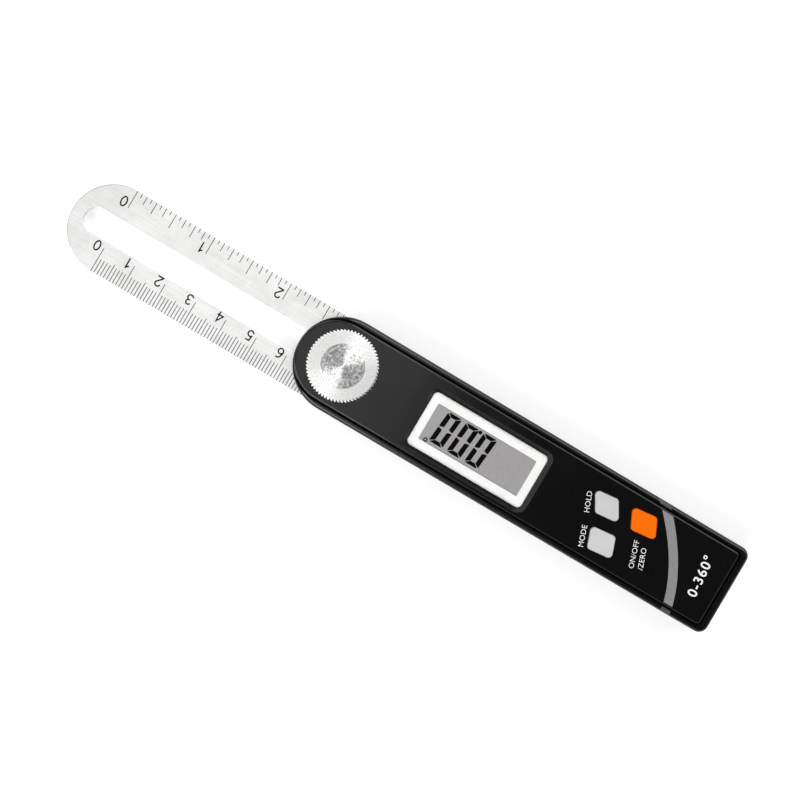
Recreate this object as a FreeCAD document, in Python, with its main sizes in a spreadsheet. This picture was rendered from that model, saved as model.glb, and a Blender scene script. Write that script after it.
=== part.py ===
"""Sliding angle finder: a digital handle and a slotted ruler blade, locked by a knurled knob.

Frame, in millimetres: the origin is on the pivot axis, on the handle's back face.  +Z points out
of the display side, the handle runs towards +X and the blade lies towards -X.

From back to front the tool is a stack on the pivot: rear cover with its clamp nut, friction
washer, blade, guide hub, encoder, front housing with the electronics, face panel and lock knob.
"""
import FreeCAD, Part
import math
import os
import Sketcher
from FreeCAD import Vector

os.makedirs("parts", exist_ok=True)
doc = FreeCAD.newDocument("angle_finder")
sheet = doc.addObject("Spreadsheet::Sheet", "dim")

SIZES = [
    # the button cell sets the handle's width and the length of its closed end
    ("cell_wide", 20.0, "diameter of the button cell"),
    ("cell_thick", 3.2, "thickness of the button cell"),
    ("cell_step", 1.5, "the cell's negative face inside its rim"),
    ("cell_cap_high", 0.4, "height of the cell's negative step"),
    ("cell_play", 0.3, "play around the cell in its bay"),
    ("cell_seat", 0.05, "gap under the cell"),
    ("bay_wall", 0.8, "wall of the ring that holds the cell"),
    ("bay_wall_play", 0.3, "room between that ring and the housing wall"),
    ("contact_window", 6.0, "width of the slit in the ring for the side contact"),
    ("contact_wide", 4.0, "width of each battery contact"),
    ("contact_thick", 0.3, "thickness of the contact strip"),
    ("contact_foot", 3.0, "length of each contact's foot"),
    ("side_wall", 2.6, "side wall of the front housing"),
    ("end_wall", 3.8, "end wall of the front housing"),
    ("far_corner", 2.9, "rounding of the two far corners"),
    # blade and its guide
    ("blade_long", 100.0, "overall length of the blade"),
    ("blade_inset", 0.7, "how much the blade edge stays inside the handle's side"),
    ("blade_thick", 1.2, "thickness of the blade"),
    ("blade_tail", 11.65, "blade left on the handle side of the pivot"),
    ("slot_wide", 7.4, "width of the blade's slot"),
    ("slot_margin", 3.95, "metal left beyond each end of the slot"),
    ("key_long", 10.0, "length of the guide key in the slot"),
    ("key_side_play", 0.1, "play of the guide key on each side"),
    ("key_lift", 0.15, "how far the guide key stops above the blade's back"),
    ("blade_play", 0.3, "room behind and in front of the blade"),
    ("fork_clear", 0.95, "room between the blade's furthest reach and the closed end"),
    # casing
    ("rear_thick", 3.6, "thickness of the rear cover"),
    ("rear_edge", 0.8, "rounding of the rear cover's back edge"),
    ("floor_thick", 1.2, "floor of the front housing"),
    ("front_high", 7.5, "height of the front housing above the fork gap"),
    ("rim_edge", 1.1, "rounding of the housing's front edge"),
    ("partition", 1.8, "wall that closes the fork gap"),
    ("rim_wide", 1.45, "rim beside the face panel"),
    ("rim_end_wide", 2.3, "rim at the far end of the face panel"),
    ("groove_wide", 0.6, "open joint around the face panel"),
    ("panel_thick", 2.6, "thickness of the face panel"),
    ("panel_proud", 0.4, "how far the panel stands above the rim"),
    ("nose_shift", 1.9, "offset of the panel's round nose from the pivot"),
    ("nose_open", 4.5, "length of the nose that has no rim, from its tip"),
    ("panel_corner", 1.3, "rounding of the panel's far corners"),
    ("panel_edge", 0.6, "rounding of the panel's front edge"),
    # screws that hold the rear cover and the board
    ("boss_wide", 4.6, "diameter of each screw boss"),
    ("boss_short", 0.25, "gap between a boss and a fully pressed key's flange"),
    ("screw_wide", 2.0, "thread diameter of the cover screws"),
    ("screw_play", 0.1, "play of a screw in its clearance hole"),
    ("screw_head_wide", 4.0, "head diameter of the cover screws"),
    ("screw_head_high", 1.6, "head height of the cover screws"),
    ("screw_sunk", 0.2, "how deep the screw heads lie below the back face"),
    ("screw_bite", 5.0, "thread length in the boss"),
    ("screw_slot_margin", 0.6, "metal left beyond each end of the cross recess"),
    ("screw_slot_wide", 0.5, "width of the cross recess"),
    ("screw_slot_deep", 0.6, "depth of the cross recess"),
    ("screw_from_block", 4.6, "first screw row to the closed end's wall"),
    ("screw_from_cell", 4.4, "screw row to the rim of the cell"),
    ("screw_from_end", 3.87, "last screw row to the far end"),
    ("screw_from_side", 3.4, "screws to the handle's side"),
    ("post_wide", 3.0, "diameter of the board posts"),
    ("post_high", 0.6, "height of the board posts"),
    ("board_screw_wide", 1.6, "thread diameter of the board screws"),
    ("board_screw_head", 2.8, "head diameter of the board screws"),
    ("board_screw_head_high", 0.9, "head height of the board screws"),
    ("board_screw_bite", 1.2, "thread length below the board"),
    ("board_screw_near_x", 20.0, "first pair of board screws"),
    ("board_screw_far_x", 72.0, "second pair of board screws"),
    ("board_screw_y", 7.5, "board screws from the centre line"),
    # pivot stack
    ("stud_wide", 4.0, "diameter of the knob's stud"),
    ("stud_play", 0.08, "radial play of the stud in nut and bush"),
    ("stud_grip", 3.3, "length of stud pressed into the knob"),
    ("stud_tail", 0.3, "gap between stud tip and nut cap"),
    ("nut_wide", 7.0, "width of the nut across its flats"),
    ("nut_thick", 2.2, "thickness of the nut"),
    ("nut_play", 0.05, "play of the nut in its pocket"),
    ("nut_cap_wide", 11.0, "diameter of the disc over the nut"),
    ("nut_cap_thick", 0.6, "thickness of the disc over the nut"),
    ("nut_cap_play", 0.1, "play of the disc in its recess"),
    ("bush_wide", 6.0, "outer diameter of the pivot bush"),
    ("bush_flange_wide", 9.0, "diameter of the bush flange"),
    ("bush_flange_thick", 0.8, "thickness of the bush flange"),
    ("bush_short", 0.2, "how far the bush ends above the blade's back"),
    ("boss_wall", 2.2, "wall of the panel's pivot boss around the bush"),
    ("hub_wide", 21.8, "diameter of the guide hub"),
    ("hub_play", 0.08, "radial play of the hub in the housing"),
    ("hub_lap", 0.7, "width of the housing step above the hub"),
    ("turn_play", 0.05, "running play at the hub"),
    ("washer_wide", 21.0, "diameter of the friction washer"),
    ("code_disc_thick", 0.8, "thickness of the encoder disc"),
    ("code_disc_play", 0.4, "room around the encoder disc"),
    ("code_gap", 0.5, "air gap of the encoder"),
    ("stator_thick", 0.8, "thickness of the encoder's fixed plate"),
    ("stator_play", 0.2, "play of the fixed plate in the housing"),
    # lock knob
    ("knob_wide", 20.7, "diameter of the knurled knob"),
    ("knob_high", 4.5, "height of the knob"),
    ("knob_face_wide", 12.3, "diameter of the raised flat on top"),
    ("knob_face_step", 0.15, "height of that flat above the ring"),
    ("knob_fall", 0.05, "fall of the ring towards the rim"),
    ("knob_edge", 0.3, "chamfer of the knob's rim"),
    ("knob_relief", 0.3, "relief under the knob's rim"),
    ("knob_washer_wide", 12.6, "diameter of the washer under the knob"),
    ("knob_washer_thick", 0.4, "thickness of the washer under the knob"),
    # display
    ("display_x", 45.52, "centre of the display from the pivot"),
    ("display_y", -0.9, "centre of the display from the centre line"),
    ("window_long", 37.9, "length of the display window"),
    ("window_wide", 17.2, "width of the display window"),
    ("window_corner", 1.45, "rounding of the window's corners"),
    ("window_play", 0.05, "play of window and bezel in the panel"),
    ("window_thick", 0.5, "thickness of the window"),
    ("window_lip", 1.3, "bevel around the window, as deep as it is wide"),
    ("bezel_thick", 0.4, "thickness of the white frame behind the window"),
    ("view_long", 32.8, "length of the visible display"),
    ("view_wide", 11.6, "width of the visible display"),
    ("view_corner", 0.4, "rounding of the frame's inner corners"),
    ("view_play", 0.2, "room between the front glass and the panel opening"),
    ("glass_margin", 0.2, "front glass beyond the visible display"),
    ("rear_glass_margin_x", 1.35, "rear glass beyond the visible display, lengthwise"),
    ("rear_glass_margin_y", 1.6, "rear glass beyond the visible display, crosswise"),
    ("rear_glass_thick", 1.0, "thickness of the display's rear glass"),
    ("zebra_wide", 1.4, "width of each elastomer connector"),
    ("zebra_inset", 0.6, "elastomer connectors inside the ends of the rear glass"),
    # board
    ("board_thick", 1.0, "thickness of the circuit board"),
    ("board_play", 0.6, "room around the circuit board"),
    ("board_from_well", 1.0, "room at the board's pivot end"),
    ("chip_wide", 7.0, "side of the processor chip"),
    ("chip_thick", 1.1, "thickness of the processor chip"),
    ("plug_long", 2.6, "length of the ribbon connector"),
    ("plug_wide", 8.0, "width of the ribbon connector"),
    ("ribbon_wide", 6.0, "width of the ribbon"),
    ("ribbon_thick", 0.15, "thickness of the ribbon"),
    ("ribbon_lap", 1.6, "length of ribbon on the encoder plate"),
    # keys
    ("key_proud", 0.7, "how far the keys stand above the panel"),
    ("key_travel", 0.6, "travel of the keys"),
    ("key_round", 1.2, "rounding of the keys' corners"),
    ("key_edge", 0.35, "rounding of the keys' front edge"),
    ("key_play", 0.2, "gap around each key"),
    ("key_flange", 0.8, "width of the stop flange around each key"),
    ("key_flange_thick", 0.6, "thickness of the stop flange"),
    ("key_rest_play", 0.05, "gap between flange and panel"),
    ("switch_wide", 5.0, "side of each switch"),
    ("switch_base", 0.6, "height of the switch's base"),
    ("dome_wide", 3.6, "diameter of the switch's dome"),
    ("dome_high", 0.5, "height of the switch's dome"),
    ("hold_x", 85.55, "hold key, centre"),
    ("hold_y", 4.1, "hold key, centre"),
    ("hold_wide", 7.5, "hold key, length of its long edges"),
    ("hold_deep", 6.9, "hold key, length of its slanted edges"),
    ("hold_tilt", 5.9, "hold key, angle of its long edges"),
    ("hold_lean", -59.4, "hold key, angle of its slanted edges"),
    ("mode_x", 89.5, "mode key, centre"),
    ("mode_y", -5.65, "mode key, centre"),
    ("mode_wide", 7.85, "mode key, length of its long edges"),
    ("mode_deep", 6.7, "mode key, length of its slanted edges"),
    ("mode_tilt", 5.9, "mode key, angle of its long edges"),
    ("mode_lean", -70.0, "mode key, angle of its slanted edges"),
    ("power_x", 97.4, "power key, centre"),
    ("power_y", 5.2, "power key, centre"),
    ("power_wide", 7.95, "power key, length of its long edges"),
    ("power_deep", 6.75, "power key, length of its slanted edges"),
    ("power_tilt", 6.2, "power key, angle of its long edges"),
    ("power_lean", -63.9, "power key, angle of its slanted edges"),
    # battery cap with its bayonet
    ("cap_over", 1.2, "how far the battery cap reaches beyond the cell"),
    ("cap_play", 0.2, "gap around the battery cap"),
    ("cap_lip", 1.2, "thickness of the cap's visible disc"),
    ("lug_reach", 1.1, "how far the bayonet lugs stand out"),
    ("lug_thick", 0.8, "thickness of the lugs"),
    ("lug_play", 0.1, "play of the lugs under the ledge"),
    ("lug_angle", 40.0, "arc of each lug"),
    ("notch_angle", 46.0, "arc of each notch in the ledge"),
    ("notch_turn", 45.0, "turn that brings the lugs to the notches"),
    ("seal_thick", 0.4, "thickness of the cap's seal"),
    ("seal_inset", 0.1, "the seal's outer edge inside the cap's rim"),
    ("seal_clear", 0.4, "room between the seal and the cell"),
    ("coin_slot_margin", 3.7, "cap left beyond each end of the coin slot"),
    ("coin_slot_wide", 1.8, "width of the coin slot"),
    ("coin_slot_deep", 0.9, "depth of the coin slot"),
]
for row, (alias, number, note) in enumerate(SIZES, start=1):
    sheet.set(f"A{row}", alias)
    sheet.set(f"B{row}", str(number))
    sheet.setAlias(f"B{row}", alias)
    sheet.set(f"C{row}", note)
doc.recompute()

# Heights of the stack, each a formula on the sheet's cells.
REAR_TOP = "dim.rear_thick"
BLADE_LOW = f"({REAR_TOP} + dim.blade_play)"
BLADE_TOP = f"({BLADE_LOW} + dim.blade_thick)"
GAP_TOP = f"({BLADE_TOP} + dim.blade_play)"
FLOOR_TOP = f"({GAP_TOP} + dim.floor_thick)"
STATOR_LOW = f"({FLOOR_TOP} + dim.code_disc_thick + dim.code_gap)"
STATOR_TOP = f"({STATOR_LOW} + dim.stator_thick)"
BOARD_LOW = f"({FLOOR_TOP} + dim.post_high)"
BOARD_TOP = f"({BOARD_LOW} + dim.board_thick)"
DOME_TOP = f"({BOARD_TOP} + dim.switch_base + dim.dome_high)"
RIM_TOP = f"({GAP_TOP} + dim.front_high)"
PANEL_TOP = f"({RIM_TOP} + dim.panel_proud)"
PANEL_LOW = f"({PANEL_TOP} - dim.panel_thick)"
FLANGE_TOP = f"({PANEL_LOW} - dim.key_rest_play)"
FLANGE_LOW = f"({FLANGE_TOP} - dim.key_flange_thick)"
BOSS_TOP = f"({FLANGE_LOW} - dim.key_travel - dim.boss_short)"
WINDOW_TOP = f"({PANEL_TOP} - dim.window_lip)"
BEZEL_TOP = f"({WINDOW_TOP} - dim.window_thick)"
BEZEL_LOW = f"({BEZEL_TOP} - dim.bezel_thick)"
KNOB_LOW = f"({PANEL_TOP} + dim.knob_washer_thick)"
KNOB_TOP = f"({KNOB_LOW} + dim.knob_high)"
CAP_TOP = "(dim.cap_lip + dim.lug_play + dim.lug_thick)"
CELL_LOW = f"({CAP_TOP} + dim.cell_seat)"
CELL_TOP = f"({CELL_LOW} + dim.cell_thick)"

# Plan sizes.
HALF_WIDE = "(dim.cell_wide / 2 + dim.cell_play + dim.bay_wall + dim.bay_wall_play + dim.side_wall)"
INNER_HALF = f"({HALF_WIDE} - dim.side_wall)"
BLADE_HALF = f"({HALF_WIDE} - dim.blade_inset)"
BLADE_REACH = "(dim.blade_long - dim.blade_tail)"
OUT_TRAVEL = "(dim.blade_tail - dim.slot_margin - dim.key_long / 2)"
BLOCK_X = f"({BLADE_REACH} + {OUT_TRAVEL} + dim.fork_clear)"
NEAR_SCREW_X = f"({BLOCK_X} + dim.screw_from_block)"
CELL_X = f"({NEAR_SCREW_X} + dim.screw_from_cell + dim.cell_wide / 2)"
FAR_SCREW_X = f"({CELL_X} + dim.cell_wide / 2 + dim.screw_from_cell)"
FAR_X = f"({FAR_SCREW_X} + dim.screw_from_end)"
CAVITY_FAR_X = f"({FAR_X} - dim.end_wall)"
WELL_X = f"({INNER_HALF} + dim.floor_thick)"
BOARD_NEAR_X = f"({WELL_X} + dim.board_from_well)"
SCREW_Y = f"({HALF_WIDE} - dim.screw_from_side)"
COVER_SCREWS = [(x, f"({side} * {SCREW_Y})") for x in (NEAR_SCREW_X, FAR_SCREW_X) for side in (1, -1)]
BOARD_SCREWS = [(x, f"({side} * dim.board_screw_y)")
                for x in ("dim.board_screw_near_x", "dim.board_screw_far_x") for side in (1, -1)]
HUB_BORE = "(dim.hub_wide / 2 + dim.hub_play)"
HUB_STEP_BORE = "(dim.hub_wide / 2 - dim.hub_lap)"
CELL_BORE = "(dim.cell_wide / 2 + dim.cell_play)"
CAP_HALF = "(dim.cell_wide / 2 + dim.cap_over)"
PIVOT_BOSS = "(dim.bush_wide / 2 + dim.boss_wall)"
STUD_BORE = "(dim.stud_wide / 2 + dim.stud_play)"
KEYS = ("hold", "mode", "power")


def value(formula):
    """The number that a formula gives with the sheet as it stands."""
    return float(doc.getObject("dim").evalExpression(formula))


def bind(thing, formulas):
    for name, formula in formulas.items():
        thing.setExpression(name, formula)


# ---- Part primitives and booleans -------------------------------------------------------------

def place(thing, x, y, z):
    bind(thing, {"Placement.Base.x": x, "Placement.Base.y": y, "Placement.Base.z": z})
    return thing


def block(name, x, y, z):
    """A box; x, y and z are (low, high) pairs of formulas."""
    thing = doc.addObject("Part::Box", name)
    bind(thing, {"Length": f"{x[1]} - {x[0]}", "Width": f"{y[1]} - {y[0]}", "Height": f"{z[1]} - {z[0]}"})
    return place(thing, x[0], y[0], z[0])


def disc(name, radius, z, x="0", y="0"):
    """An upright cylinder between the two heights in z."""
    thing = doc.addObject("Part::Cylinder", name)
    bind(thing, {"Radius": radius, "Height": f"{z[1]} - {z[0]}"})
    return place(thing, x, y, z[0])


def hexagon(name, across_flats, z):
    thing = doc.addObject("Part::Prism", name)
    thing.Polygon = 6
    bind(thing, {"Circumradius": f"{across_flats} / 2 / cos(30)", "Height": f"{z[1]} - {z[0]}"})
    return place(thing, "0", "0", z[0])


def join(name, *pieces):
    thing = doc.addObject("Part::MultiFuse", name)
    thing.Shapes = list(pieces)
    return thing


def cut(name, base, *tools):
    thing = doc.addObject("Part::Cut", name)
    thing.Base = base
    thing.Tool = tools[0] if len(tools) == 1 else join(name + "_tools", *tools)
    return thing


def ring(name, outer, inner, z, x="0", y="0"):
    return cut(name, disc(name + "_disc", outer, z, x, y), disc(name + "_hole", inner, z, x, y))


def centred(middle, long):
    """Low and high formulas of a span around its middle."""
    return (f"({middle} - {long} / 2)", f"({middle} + {long} / 2)")


# ---- PartDesign bodies ------------------------------------------------------------------------

def new_body(name):
    return doc.addObject("PartDesign::Body", name)


def new_sketch(body, name, height, role="XY_Plane"):
    sketch = body.newObject("Sketcher::SketchObject", name)
    plane = next(item for item in body.Origin.OriginFeatures if item.Role == role)
    sketch.AttachmentSupport = (plane, [""])
    sketch.MapMode = "FlatFace"
    sketch.setExpression("AttachmentOffset.Base.z", height)
    return sketch


def hold(sketch, kind, where, formula):
    """Add a dimension to the sketch and bind it to its formula."""
    index = sketch.addConstraint(Sketcher.Constraint(kind, *where, value(formula)))
    label = f"size{index}"
    sketch.renameConstraint(index, label)
    sketch.setExpression(f"Constraints.{label}", formula)


def pin(sketch, geometry, point, x, y):
    """Fix a point of the sketch by its two coordinates."""
    if x == "0":
        sketch.addConstraint(Sketcher.Constraint("PointOnObject", geometry, point, -2))
    else:
        hold(sketch, "DistanceX", (-1, 1, geometry, point), x)
    if y == "0":
        sketch.addConstraint(Sketcher.Constraint("PointOnObject", geometry, point, -1))
    else:
        hold(sketch, "DistanceY", (-1, 1, geometry, point), y)


def arc(x, y, radius, start, end):
    """An arc of a circle, with its two angles in degrees."""
    circle = Part.Circle(Vector(x, y, 0), Vector(0, 0, 1), radius)
    return Part.ArcOfCircle(circle, math.radians(start), math.radians(end))


def line(x0, y0, x1, y1):
    return Part.LineSegment(Vector(x0, y0, 0), Vector(x1, y1, 0))


def circles(sketch, radius, centres):
    for x, y in centres:
        index = sketch.addGeometry(Part.Circle(Vector(value(x), value(y), 0), Vector(0, 0, 1), value(radius)))
        hold(sketch, "Radius", (index,), radius)
        pin(sketch, index, 3, x, y)


def polygon(sketch, corners):
    """A closed outline of straight lines through the corners, each an (x, y) pair of formulas."""
    first = sketch.GeometryCount
    spots = [(value(x), value(y)) for x, y in corners]
    count = len(spots)
    for spot in range(count):
        sketch.addGeometry(line(*spots[spot], *spots[(spot + 1) % count]))
    for spot in range(count):
        end = first + (spot + 1) % count
        sketch.addConstraint(Sketcher.Constraint("Coincident", first + spot, 2, end, 1))
    for spot, (x, y) in enumerate(corners):
        pin(sketch, first + spot, 1, x, y)


def rectangle(sketch, x, y):
    polygon(sketch, [(x[0], y[0]), (x[1], y[0]), (x[1], y[1]), (x[0], y[1])])


def bullet(sketch, centre, radius, far, corner):
    """The handle's outline: a full round nose towards -X and two rounded corners at the far end."""
    c, r, x, k = (value(formula) for formula in (centre, radius, far, corner))
    sketch.addGeometry(arc(c, 0, r, 90, 270))
    sketch.addGeometry(line(c, -r, x - k, -r))
    sketch.addGeometry(arc(x - k, k - r, k, 270, 360))
    sketch.addGeometry(line(x, k - r, x, r - k))
    sketch.addGeometry(arc(x - k, r - k, k, 0, 90))
    sketch.addGeometry(line(x - k, r, c, r))
    for side in range(6):
        sketch.addConstraint(Sketcher.Constraint("Tangent", side, 2, (side + 1) % 6, 1))
    sketch.addConstraint(Sketcher.Constraint("Horizontal", 1))
    sketch.addConstraint(Sketcher.Constraint("Vertical", 3))
    sketch.addConstraint(Sketcher.Constraint("Horizontal", 5))
    sketch.addConstraint(Sketcher.Constraint("Equal", 2, 4))
    hold(sketch, "Radius", (0,), radius)
    hold(sketch, "Radius", (2,), corner)
    hold(sketch, "DistanceX", (-1, 1, 3, 1), far)
    pin(sketch, 0, 3, centre, "0")


def stadium(sketch, near, far, radius):
    """A straight slot shape; near and far are the centres of its two round ends."""
    first = sketch.GeometryCount
    a, b, r = (value(formula) for formula in (near, far, radius))
    sketch.addGeometry(arc(a, 0, r, 90, 270))
    sketch.addGeometry(line(a, -r, b, -r))
    sketch.addGeometry(arc(b, 0, r, 270, 450))
    sketch.addGeometry(line(b, r, a, r))
    for side in range(4):
        sketch.addConstraint(Sketcher.Constraint("Tangent", first + side, 2, first + (side + 1) % 4, 1))
    sketch.addConstraint(Sketcher.Constraint("Equal", first, first + 2))
    hold(sketch, "Radius", (first,), radius)
    pin(sketch, first, 3, near, "0")
    pin(sketch, first + 2, 3, far, "0")


def pad(body, sketch, height):
    feature = body.newObject("PartDesign::Pad", sketch.Name + "_pad")
    feature.Profile = sketch
    feature.setExpression("Length", height)
    body.Tip = feature


def pocket(body, sketch, depth, upwards=False):
    """Cut the sketch out of the body, downwards from its plane unless told otherwise."""
    feature = body.newObject("PartDesign::Pocket", sketch.Name + "_pocket")
    feature.Profile = sketch
    feature.setExpression("Length", depth)
    feature.Reversed = upwards
    body.Tip = feature


def revolve(body, sketch):
    feature = body.newObject("PartDesign::Revolution", sketch.Name + "_turned")
    feature.Profile = sketch
    feature.ReferenceAxis = (sketch, ["V_Axis"])
    feature.Angle = 360
    body.Tip = feature


def soften(body, name, wanted, radius, kind="Fillet"):
    """Round or chamfer the edges of the body's last feature that pass the test."""
    doc.recompute()
    base = body.Tip
    names = [f"Edge{index + 1}" for index, edge in enumerate(base.Shape.Edges) if wanted(edge)]
    feature = body.newObject(f"PartDesign::{kind}", name)
    feature.Base = (base, names)
    feature.setExpression("Radius" if kind == "Fillet" else "Size", radius)
    body.Tip = feature


def at_height(edge, formula):
    height = value(formula)
    return abs(edge.BoundBox.ZMin - height) < 1e-5 and abs(edge.BoundBox.ZMax - height) < 1e-5


def upright_near(edge, x, y, reach):
    """True for a vertical edge within reach of the point (x, y)."""
    box = edge.BoundBox
    upright = box.XLength < 1e-5 and box.YLength < 1e-5
    return upright and math.hypot(box.Center.x - value(x), box.Center.y - value(y)) < reach


def inside_span(edge, x, y):
    box = edge.BoundBox
    return (value(x[0]) - 1e-5 < box.XMin and box.XMax < value(x[1]) + 1e-5
            and value(y[0]) - 1e-5 < box.YMin and box.YMax < value(y[1]) + 1e-5)


# ---- Front housing: black ABS tub that carries everything in front of the blade ----------------

front = new_body("front_housing")
sketch = new_sketch(front, "front_outline", REAR_TOP)
bullet(sketch, "0", HALF_WIDE, FAR_X, "dim.far_corner")
pad(front, sketch, f"{RIM_TOP} - {REAR_TOP}")
soften(front, "front_edge_round", lambda edge: at_height(edge, RIM_TOP), "dim.rim_edge")

# the fork gap is open at the nose and at both sides, so that the blade turns all the way round
sketch = new_sketch(front, "front_fork_gap", GAP_TOP)
rectangle(sketch, (f"(-2 * {HALF_WIDE})", BLOCK_X), (f"(-2 * {HALF_WIDE})", f"(2 * {HALF_WIDE})"))
pocket(front, sketch, f"{GAP_TOP} - {REAR_TOP}")

sketch = new_sketch(front, "front_panel_seat", RIM_TOP)
bullet(sketch, "(-dim.nose_shift)", f"({HALF_WIDE} - dim.rim_wide)", f"({FAR_X} - dim.rim_end_wide)",
       "(dim.panel_corner + dim.groove_wide)")
pocket(front, sketch, f"{RIM_TOP} - {PANEL_LOW}")

# the panel's nose reaches the outline, so the thinning rim stops before it runs out to a knife edge
sketch = new_sketch(front, "front_nose_opening", RIM_TOP)
rectangle(sketch, (f"(-2 * {HALF_WIDE})", f"(dim.nose_open - {HALF_WIDE})"),
          (f"(-2 * {HALF_WIDE})", f"(2 * {HALF_WIDE})"))
pocket(front, sketch, f"{RIM_TOP} - {PANEL_LOW}")

sketch = new_sketch(front, "front_cavity", PANEL_LOW)
bullet(sketch, "0", INNER_HALF, CAVITY_FAR_X, "dim.panel_corner")
pocket(front, sketch, f"{PANEL_LOW} - {STATOR_LOW}")

sketch = new_sketch(front, "front_board_well", STATOR_LOW)
rectangle(sketch, (WELL_X, CAVITY_FAR_X), (f"(-{INNER_HALF})", INNER_HALF))
pocket(front, sketch, f"{STATOR_LOW} - {FLOOR_TOP}")

sketch = new_sketch(front, "front_battery_bay", FLOOR_TOP)
rectangle(sketch, (f"({BLOCK_X} + dim.partition)", CAVITY_FAR_X), (f"(-{INNER_HALF})", INNER_HALF))
pocket(front, sketch, f"{FLOOR_TOP} - {REAR_TOP}")

sketch = new_sketch(front, "front_hub_bore", FLOOR_TOP)
circles(sketch, HUB_BORE, [("0", "0")])
pocket(front, sketch, f"{FLOOR_TOP} - {GAP_TOP}")

sketch = new_sketch(front, "front_hub_step", STATOR_LOW)
circles(sketch, HUB_STEP_BORE, [("0", "0")])
pocket(front, sketch, f"{STATOR_LOW} - {FLOOR_TOP}")

sketch = new_sketch(front, "front_bosses", REAR_TOP)
circles(sketch, "dim.boss_wide / 2", COVER_SCREWS)
pad(front, sketch, f"{BOSS_TOP} - {REAR_TOP}")

sketch = new_sketch(front, "front_posts", FLOOR_TOP)
circles(sketch, "dim.post_wide / 2", BOARD_SCREWS)
pad(front, sketch, "dim.post_high")

sketch = new_sketch(front, "front_boss_holes", REAR_TOP)
circles(sketch, "dim.screw_wide / 2", COVER_SCREWS)
pocket(front, sketch, "dim.screw_bite", upwards=True)

sketch = new_sketch(front, "front_post_holes", BOARD_LOW)
circles(sketch, "dim.board_screw_wide / 2", BOARD_SCREWS)
pocket(front, sketch, "dim.board_screw_bite")


# ---- Face panel: the lid glued into the rim, with the display and key openings -----------------

def key_corners(key, grow):
    """Corners of a key's slanted outline, moved outwards by grow on every side."""
    tilt, lean = f"dim.{key}_tilt", f"dim.{key}_lean"
    across = f"(dim.{key}_wide / 2 + {grow} / sin({tilt} - {lean}))"
    along = f"(dim.{key}_deep / 2 + {grow} / sin({tilt} - {lean}))"
    return [(f"(dim.{key}_x + {i} * {across} * cos({tilt}) + {j} * {along} * cos({lean}))",
             f"(dim.{key}_y + {i} * {across} * sin({tilt}) + {j} * {along} * sin({lean}))")
            for i, j in ((-1, 1), (1, 1), (1, -1), (-1, -1))]


WINDOW_X = centred("dim.display_x", "dim.window_long")
WINDOW_Y = centred("dim.display_y", "dim.window_wide")
OPENING = "dim.view_long + 2 * (dim.glass_margin + dim.view_play)"
OPENING_X = centred("dim.display_x", f"({OPENING})")
OPENING_Y = centred("dim.display_y", f"({OPENING.replace('long', 'wide')})")

panel = new_body("face_panel")
sketch = new_sketch(panel, "panel_outline", PANEL_LOW)
bullet(sketch, "(-dim.nose_shift)", f"({HALF_WIDE} - dim.rim_wide - dim.groove_wide)",
       f"({FAR_X} - dim.rim_end_wide - dim.groove_wide)", "dim.panel_corner")
pad(panel, sketch, "dim.panel_thick")
soften(panel, "panel_edge_round", lambda edge: at_height(edge, PANEL_TOP), "dim.panel_edge")

# the pivot boss passes the knob's clamping load to the hub
sketch = new_sketch(panel, "panel_pivot_boss", f"({FLOOR_TOP} + dim.turn_play)")
circles(sketch, PIVOT_BOSS, [("0", "0")])
pad(panel, sketch, f"{PANEL_LOW} - {FLOOR_TOP} - dim.turn_play")
sketch = new_sketch(panel, "panel_bush_bore", PANEL_TOP)
circles(sketch, "dim.bush_wide / 2", [("0", "0")])
pocket(panel, sketch, f"{PANEL_TOP} - {FLOOR_TOP}")
sketch = new_sketch(panel, "panel_flange_seat", PANEL_TOP)
circles(sketch, "dim.bush_flange_wide / 2", [("0", "0")])
pocket(panel, sketch, "dim.bush_flange_thick")

sketch = new_sketch(panel, "panel_window_seat", PANEL_TOP)
rectangle(sketch, WINDOW_X, WINDOW_Y)
pocket(panel, sketch, f"{PANEL_TOP} - {BEZEL_LOW}")
soften(panel, "panel_window_corners", lambda edge: inside_span(edge, WINDOW_X, WINDOW_Y)
       and edge.BoundBox.XLength < 1e-5 and edge.BoundBox.YLength < 1e-5, "dim.window_corner")
soften(panel, "panel_window_bevel", lambda edge: at_height(edge, PANEL_TOP)
       and inside_span(edge, WINDOW_X, WINDOW_Y), "dim.window_lip", "Chamfer")
sketch = new_sketch(panel, "panel_display_opening", BEZEL_LOW)
rectangle(sketch, OPENING_X, OPENING_Y)
pocket(panel, sketch, f"{BEZEL_LOW} - {PANEL_LOW}")

sketch = new_sketch(panel, "panel_key_holes", PANEL_TOP)
for key in KEYS:
    polygon(sketch, key_corners(key, "dim.key_play"))
pocket(panel, sketch, "dim.panel_thick")
soften(panel, "panel_key_corners", lambda edge: any(
    upright_near(edge, f"dim.{key}_x", f"dim.{key}_y", value(f"dim.{key}_wide")) for key in KEYS),
    "dim.key_round + dim.key_play")


# ---- Display: window, white frame, two-plate glass and its elastomer connectors ----------------

def plate(name, x, y, z, corner):
    """A flat rectangular plate with rounded corners."""
    body = new_body(name)
    sketch = new_sketch(body, name + "_outline", z[0])
    rectangle(sketch, x, y)
    pad(body, sketch, f"{z[1]} - {z[0]}")
    soften(body, name + "_corners", lambda edge: edge.BoundBox.ZLength > 1e-5, corner)
    return body


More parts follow.
